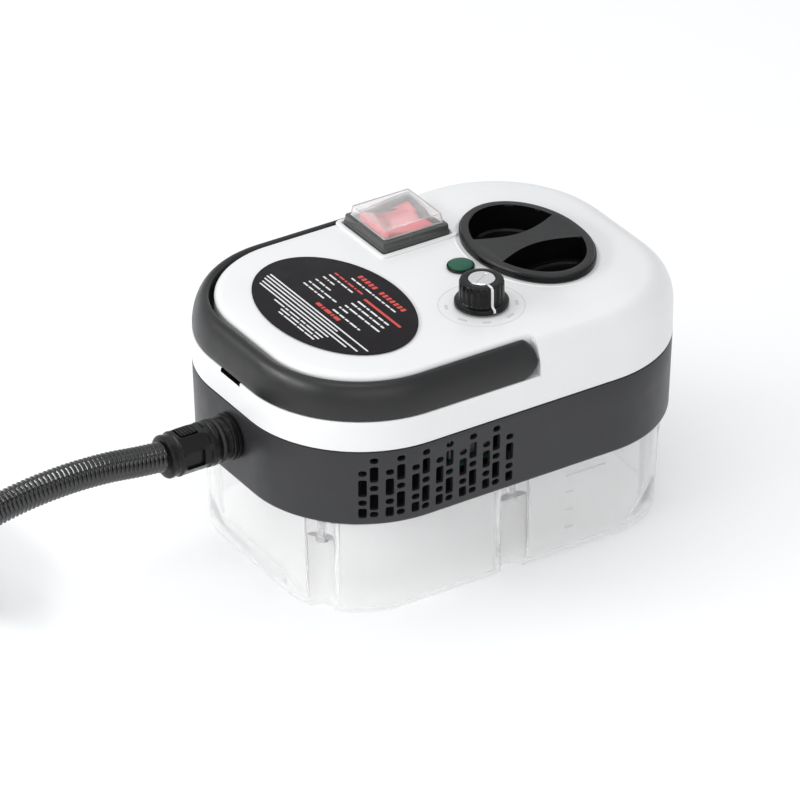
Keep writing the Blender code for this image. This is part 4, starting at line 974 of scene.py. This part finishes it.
def make_lamp():
    z = FACE_Z
    profile = rounded([(AXIS, z + 0.9), (5.8, z + 0.9), (5.85, z + 1.3), (6.05, z + 1.3),
                       (6.2, z + 0.9), (6.2, z), (4.7, z), (4.7, 104), (AXIS, 104)], 0.25)
    piece("lamp_ring", turned(profile, (*LAMP_XY, 0)), "black", "black_plastic", "lamp_bezel")
    dome = [(AXIS, 2.3), (2.5, 2.26), (4.4, 2.12), (5.2, 1.9), (5.5, 1.6), (5.55, 1.25),
            (AXIS, 1.2)]
    piece("lamp_jewel", turned(dome, (*LAMP_XY, z)), "lens", "green_lens", "lamp_lens")


def knob_surface(along):
    """Point (radius, z) on the knob at a distance along its section, from its insert outwards."""
    line = [(6.05, 130.43), (9.1, 130.43), (9.93, 129.6), (10.02, 121.6), (10.4, 121.15),
            (11.8, 120.75), (12.07, 120.2), (12.08, 118.9)]
    for (r0, z0), (r1, z1) in zip(line, line[1:]):
        length = math.hypot(r1 - r0, z1 - z0)
        if along <= length:
            return r0 + (r1 - r0) * along / length, z0 + (z1 - z0) * along / length
        along -= length
    return line[-1]


def make_pointer():
    """The white line down the knob, a thin bar that is bent along its surface."""
    length, steps = 15.7, 40
    points = [Vector(knob_surface(length * step / steps)) for step in range(steps + 1)]
    heading = turned_about("Z", POINTER_DEG)
    rings = []
    for index, point in enumerate(points):
        slope = (points[min(index + 1, steps)] - points[max(index - 1, 0)]).normalized()
        normal = Vector((-slope.y, slope.x))
        ring = []
        for across, lift in ((-0.55, -0.5), (-0.55, 0.06), (0.55, 0.06), (0.55, -0.5)):
            radius, z = point + normal * lift
            ring.append(Vector((*KNOB_XY, 0)) + heading @ Vector((radius, across, z)))
        rings.append(ring)
    piece("knob_pointer", loft(rings), "print_white", "black_plastic", body="knob")


def make_knob():
    flutes, flute_depth = 20, 0.42

    def fluted(angle, radius, height):
        if radius <= 9 or not 121.6 < height < 130.2:
            return radius
        return radius - flute_depth * (0.5 - 0.5 * math.cos(flutes * angle)) ** 2

    profile = [(AXIS, 130.0), (6.1, 130.0), (6.2, 130.35), (6.4, 130.4), (8.9, 130.4),
               (9.4, 130.25), (9.7, 129.8), (9.82, 129.2), (9.86, 126.5), (9.88, 124.0),
               (9.9, 122.0), (10.0, 121.5), (10.35, 121.1), (11.3, 120.85), (11.75, 120.65),
               (11.98, 120.2), (12.0, 118.8), (11.8, 118.6), (7.4, 118.6), (7.4, 121.0),
               (1.8, 121.0), (1.8, 128.0), (AXIS, 128.0)]
    piece("steam_dial", turned(profile, (*KNOB_XY, 0), steps=200, radial=fluted), "knob",
          "black_plastic", "steam_knob", body="knob")
    make_pointer()
    disc = [(AXIS, 130.85), (4.6, 130.92), (5.3, 131.0), (5.6, 130.95), (5.85, 130.7),
            (5.9, 130.45), (5.8, 130.3), (AXIS, 130.3)]
    groove = bmesh.new()
    add_slab(groove, Matrix.Translation((*KNOB_XY, 131.0)) @ turned_about("Z", 28), (9.6, 0.8, 0.9),
             0.3)
    piece("knob_insert", turned(disc, (*KNOB_XY, 0), steps=96), "silver", "silver_cap", "knob_cap",
          body="knob", cuts=[groove])


# --------------------------------------------------------------------------- label

# Generic bars in place of print: (x, y at each end, width, words), from the plate's middle
WHITE_BARS = [(18.5, 15.6, -20.4, 0.8, 9), (12.1, 23.5, 3.9, 0.8, 4), (9.0, 23.6, 13.8, 0.8, 3),
              (5.1, 23.4, 10.6, 0.8, 3), (1.7, 23.5, 0.6, 0.8, 5), (-1.0, 23.6, 6.4, 0.8, 4),
              (10.0, -2.9, -28.2, 0.9, 5), (6.9, -2.7, -29.3, 0.9, 6), (3.6, -2.8, -30.8, 0.9, 5),
              (0.8, -2.6, -10.1, 0.9, 2), (-2.7, -3.0, -25.2, 0.9, 5), (-9.3, 37.5, -41.3, 0.75, 1),
              (-11.2, 37.3, -20.1, 0.75, 1), (-13.1, 36.2, -39.0, 0.75, 1),
              (-15.2, 34.5, -33.3, 0.75, 1), (-17.1, 33.5, -22.0, 0.75, 1),
              (-19.3, 18.0, -22.0, 0.75, 6), (-21.3, 9.5, -22.0, 0.75, 4),
              (-23.3, 8.0, -21.2, 0.75, 4)]
RED_BARS = [(14.9, 23.4, 0.4, 1.0, 6), (13.3, -2.9, -31.8, 1.3, 1), (-5.5, 5.6, -13.3, 1.9, 5)]
TITLE_BLOCKS = [14.3 - 2.85 * step for step in range(13) if step != 5]
LABEL_TOP_Z, PRINT_HEIGHT = FACE_Z + 0.5, 0.12


def make_bars(name, mat, bars, blocks=()):
    """Each bar is cut into words of uneven length; blocks are the letters of the title."""
    bm = bmesh.new()
    for row, (x, start, end, width, words) in enumerate(bars):
        breaks = [0.0]
        for word in range(words):
            breaks.append(breaks[-1] + 1.0 + 0.45 * math.sin(2.7 * word + 1.3 * row))
        scale = (start - end) / breaks[-1]
        space = 0.8 if words > 1 else 0.0
        for low, high in zip(breaks, breaks[1:]):
            size = (high - low) * scale - space
            place = (LABEL_X + x, start - low * scale - size / 2, LABEL_TOP_Z)
            add_slab(bm, Matrix.Translation(place), (width, size, PRINT_HEIGHT), width * 0.2, 2)
    for y in blocks:
        add_slab(bm, Matrix.Translation((LABEL_X + 22.3, y, LABEL_TOP_Z)), (2.5, 1.9, PRINT_HEIGHT),
                 0.4, 2)
    piece(name, bm, mat, "label", smooth=False)


def make_nameplate():
    rows = [(LABEL_HALF, grow, FACE_Z + z)
            for grow, z in ((-0.3, 0), (0, 0.15), (0, 0.35), (-0.12, 0.46), (-0.4, 0.5))]
    piece("oval_plate", loft(grown_ovals(rows, (LABEL_X, 0), 128)), "label", "label", "nameplate")
    make_bars("plate_bars_white", "print_white", WHITE_BARS)
    make_bars("plate_bars_red", "print_red", RED_BARS, TITLE_BLOCKS)


# --------------------------------------------------------------------------- hose fitting

def make_hose_fitting():
    """Flange, seal, quick connector and its latch; heights run outwards along -X."""
    along, origin = (-1, 0, 0), (-HALF_L, 0, HOSE_Z)
    flange = [(5.0, -6.6), (5.0, 7.0), (8.9, 7.0), (9.2, 6.7), (9.2, 4.6), (9.3, 4.2), (10.3, 4.2),
              (10.6, 3.8), (10.6, 2.7), (10.1, 2.4), (10.1, 2.1), (10.6, 1.8), (10.6, 0.7),
              (10.3, GAP), (8.6, GAP), (8.6, -6.6)]
    piece("outlet_flange", turned(flange, origin, along, closed=True), "black", "black_plastic",
          "hose_flange")
    seal = [(5.0, 7.3), (5.0, 9.3), (9.5, 9.3), (9.8, 9.0), (10.0, 8.3), (9.8, 7.6), (9.5, 7.3)]
    piece("outlet_seal", turned(seal, origin, along, closed=True), "rubber", "rubber", "hose_seal")

    flat, part = 9.55, math.pi / 4         # eight flats

    def faceted(angle, radius, height):
        if not 15.0 < height < 28.6:
            return radius
        return min(radius, flat / math.cos((angle + part / 2) % part - part / 2))

    body = [(AXIS, 9.6), (9.6, 9.6), (10.0, 10.0), (10.2, 10.5), (10.2, 12.2), (9.8, 12.5),
            (9.8, 12.9), (10.2, 13.2), (10.2, 14.9), (10.2, 15.1), (10.2, 20.0), (10.2, 26.0),
            (10.2, 28.4), (10.2, 28.7), (10.1, 29.3), (9.4, 29.8), (9.3, 30.4), (9.3, 32.0),
            (9.7, 32.4), (9.7, 33.6), (9.3, 34.2), (8.0, 34.5), (7.2, 34.5), (AXIS, 34.5)]
    latch_x, window = -HALF_L - 23, (9.0, 8.0, 4.4)
    windows = slab((latch_x, 0, HOSE_Z + 10.2), window, 1.0)
    for y in (-10.2, 10.2):
        add_slab(windows, Matrix.Translation((latch_x, y, HOSE_Z)) @ turned_about("X", 90), window,
                 1.0)
    piece("quick_connector", turned(body, origin, along, steps=96, radial=faceted), "black",
          "black_plastic", "hose_connector", cuts=[windows])
    latch = slab((latch_x, 0, HOSE_Z + 9.3), (7.6, 6.6, 1.4), 0.8)
    for x in (-2.4, -0.8, 0.8, 2.4):
        add_slab(latch, Matrix.Translation((latch_x + x, 0, HOSE_Z + 10.05)), (0.8, 5.4, 0.6), 0.3)
    piece("latch_button", latch, "black", "black_plastic", "hose_latch")


def make_gland():
    profile = [(4.0, -12), (4.0, 2.4), (4.4, 2.8), (7.4, 2.8), (7.9, 2.6), (8.7, 1.9), (9.0, 1.3),
               (9.0, 0.3), (8.8, 0.0), (6.7, 0.0), (6.7, -2.0), (6.4, -2.4), (6.4, -3.2),
               (6.7, -3.6), (6.7, -12)]
    gland = turned(profile, (GLAND_X, HALF_W + GAP, GLAND_Z), (0, 1, 0), closed=True)
    piece("cable_gland", gland, "black", "black_plastic", "mains_gland")


# --------------------------------------------------------------------------- steam gun

def gun_point(a, b, z=GUN_Z):
    """a runs to the nozzle (-Y) and b to the grip (-X) from where the two axes meet."""
    origin = GRIP_END + TAIL_HEADING * GRIP_LENGTH
    return Vector((origin.x - b, origin.y - a, z))


def grip_side(along, across):
    lean = math.radians(90 - TAIL_LEAVES_DEG)
    return (math.cos(lean) * across - math.sin(lean) * along,
            math.sin(lean) * across + math.cos(lean) * along)


def gun_outline(inset):
    """Outline of the gun with its walls moved in, its corners rounded."""
    barrel, grip = BARREL_HALF - inset, GRIP_HALF - inset
    end = GRIP_LENGTH - inset
    throat = grip_side(24, grip)
    points = [(52 - inset, -barrel + 2), (50 - inset, -barrel), (-22 + inset, -barrel),
              (-26 + inset, -barrel + 5), (-28 + inset, 6), grip_side(24, -grip),
              grip_side(end, -grip), grip_side(end, grip), throat, (throat[0] + 5, barrel),
              (50 - inset, barrel), (52 - inset, barrel - 2)]
    points = [Vector(point) for point in points]
    for reach in (7.0, 2.5):
        smoothed = []
        for index, corner in enumerate(points):
            for other in (points[index - 1], points[(index + 1) % len(points)]):
                side = other - corner
                smoothed.append(corner + side.normalized() * min(reach, side.length * 0.3))
        points = smoothed
    return points


def gun_rings(rows, sign):
    """Outlines of the gun from (inset, height) rows, above or below its middle plane."""
    return [[gun_point(a, b, GUN_Z + sign * height) for a, b in gun_outline(inset)]
            for inset, height in rows]


def gun_shell(name, node, sign):
    """Half of the gun with a rounded outer edge and a plain seam."""
    half, seam, edge_r = GUN_THICKNESS / 2, GAP / 2, 5.0
    rows = [(0.12, seam), (0.0, seam + 0.25), (0.0, half - 6.0)]
    for angle_deg in (8, 20, 35, 50, 65, 78, 90):
        angle = math.radians(angle_deg)
        rows.append((edge_r * (1 - math.cos(angle)), half - edge_r + edge_r * math.sin(angle)))
    wall = 2.3
    deep = half - wall
    hollow = loft(gun_rings([(wall, -5.0), (wall, deep - 4.0), (wall + 1.0, deep - 1.2),
                             (wall + 3.0, deep)], sign))
    bores = cylinders([(gun_point(40, 0), gun_point(60, 0))], 6.4)
    add_cylinder(bores, GRIP_END + TAIL_HEADING * 8, GRIP_END - TAIL_HEADING * 6, 9.6)
    slot = bmesh.new()
    add_slab(slot, Matrix.Translation(gun_point(20, 15)) @ turned_about("Z", 90), (26, 10, 10.4),
             0.5)
    screws = cylinders([(gun_point(*place, GUN_Z + sign * (half - 1.2)),
                         gun_point(*place, GUN_Z + sign * (half + 2)))
                        for place in ((38, 0), (-18, 0), grip_side(62, 0))], 2.6)
    ribs = bmesh.new()
    for step in range(7):
        place = gun_point(*grip_side(34 + 4.2 * step, 0), GUN_Z + sign * (half + 0.15))
        add_slab(ribs, Matrix.Translation(place) @ turned_about("Z", TAIL_LEAVES_DEG - 90),
                 (1.4, 15.0, 1.4), 0.68)
    piece(name, loft(gun_rings(rows, sign)), "dark", "dark_plastic", node,
          cuts=[hollow, bores, slot, screws, ribs])


def make_trigger():
    points = [Vector(point) for point in ((31.5, 4), (31.5, 14), (27, 20), (27.5, 34), (31, 46),
                                          (28, 49), (22.5, 46), (19.5, 34), (20, 20), (22, 4))]
    for _ in range(3):
        points = [corner.lerp(other, 0.25) for index, corner in enumerate(points)
                  for other in (points[index - 1], points[(index + 1) % len(points)])]
    middle = sum(points, Vector((0, 0))) / len(points)
    rings = [[gun_point(*(middle + (point - middle) * shrink), GUN_Z + height) for point in points]
             for shrink, height in ((0.93, -4.5), (0.985, -4.2), (1.0, -3.4), (1.0, 3.4),
                                    (0.985, 4.2), (0.93, 4.5))]
    reach = Vector((0, 0, 9))
    pivot = gun_point(*TRIGGER_PIVOT)
    piece("trigger_lever", loft(rings), "trigger", "red_trigger", "gun_trigger", body="trigger",
          cuts=[cylinders([(pivot - reach, pivot + reach)], TRIGGER_PIN_R + GAP)])


def make_gun():
    """The gun's pieces; the collar, which the hose ends in, is handed on."""
    gun_shell("gun_half_lower", "gun_shell_lower", -1)
    gun_shell("gun_half_upper", "gun_shell_upper", 1)
    make_trigger()
    nozzle = [(AXIS, 42), (6.0, 42), (6.0, 54.5), (7.8, 54.5), (8.0, 54.8), (8.0, 56.6),
              (7.5, 57.0), (7.5, 57.4), (8.0, 57.8), (8.0, 59.6), (7.5, 60.0), (7.5, 60.4),
              (8.0, 60.8), (8.0, 63.4), (7.8, 64.0), (6.6, 65.8), (4.7, 74.6), (4.3, 75.0),
              (2.4, 75.0), (2.2, 70.0), (AXIS, 70.0)]
    piece("jet_nozzle", turned(nozzle, gun_point(0, 0), (0, -1, 0)), "black", "black_plastic",
          "gun_nozzle")
    collar = [(AXIS, 0), (8.6, 0), (9.2, 0.5), (9.2, 1.8), (8.8, 2.1), (8.8, 2.6), (9.2, 2.9),
              (9.2, 4.2), (8.8, 4.5), (8.8, 5.0), (9.2, 5.3), (9.2, 8.0), (AXIS, 8.0)]
    return piece("grip_collar", turned(collar, GRIP_END, TAIL_HEADING), "black", "black_plastic",
                 "gun_collar")


# --------------------------------------------------------------------------- carried-over CAD nodes

CARRIED = {
    "rubber": ["tank_gasket", "pump_cradle"],
    "steel": ["handle_pin_front", "handle_pin_rear", "thermostat", "steam_pipe", "pot_body",
              "pot_shaft", "pot_nut", "gun_trigger_pin"]
             + [f"tank_screw_{n}" for n in range(1, 7)] + [f"cover_screw_{n}" for n in range(1, 5)],
    "cast": ["heater_block", "triac_heatsink"],
    "brass": ["gun_valve"],
    "pump": ["pump_body"],
    "board": ["control_board"],
    "sleeve": ["thermal_fuse"],
    "silicone": ["suction_tube", "pressure_tube"],
    "inner": ["suction_filter"],
    "black": ["switch_body", "hose_nut"],
}


def finish_carried():
    for key, names in CARRIED.items():
        for name in names:
            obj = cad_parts[name]
            obj.data.materials.clear()
            obj.data.materials.append(MATS[key])


def main():
    make_camera()
    make_studio()
    hose, route, length = make_hose()
    make_tank()
    make_housing()
    make_cover()
    make_cover_details()
    make_handle()
    make_cap()
    make_switch()
    make_lamp()
    make_knob()
    make_nameplate()
    make_hose_fitting()
    make_gland()
    make_gun()
    finish_carried()


main()
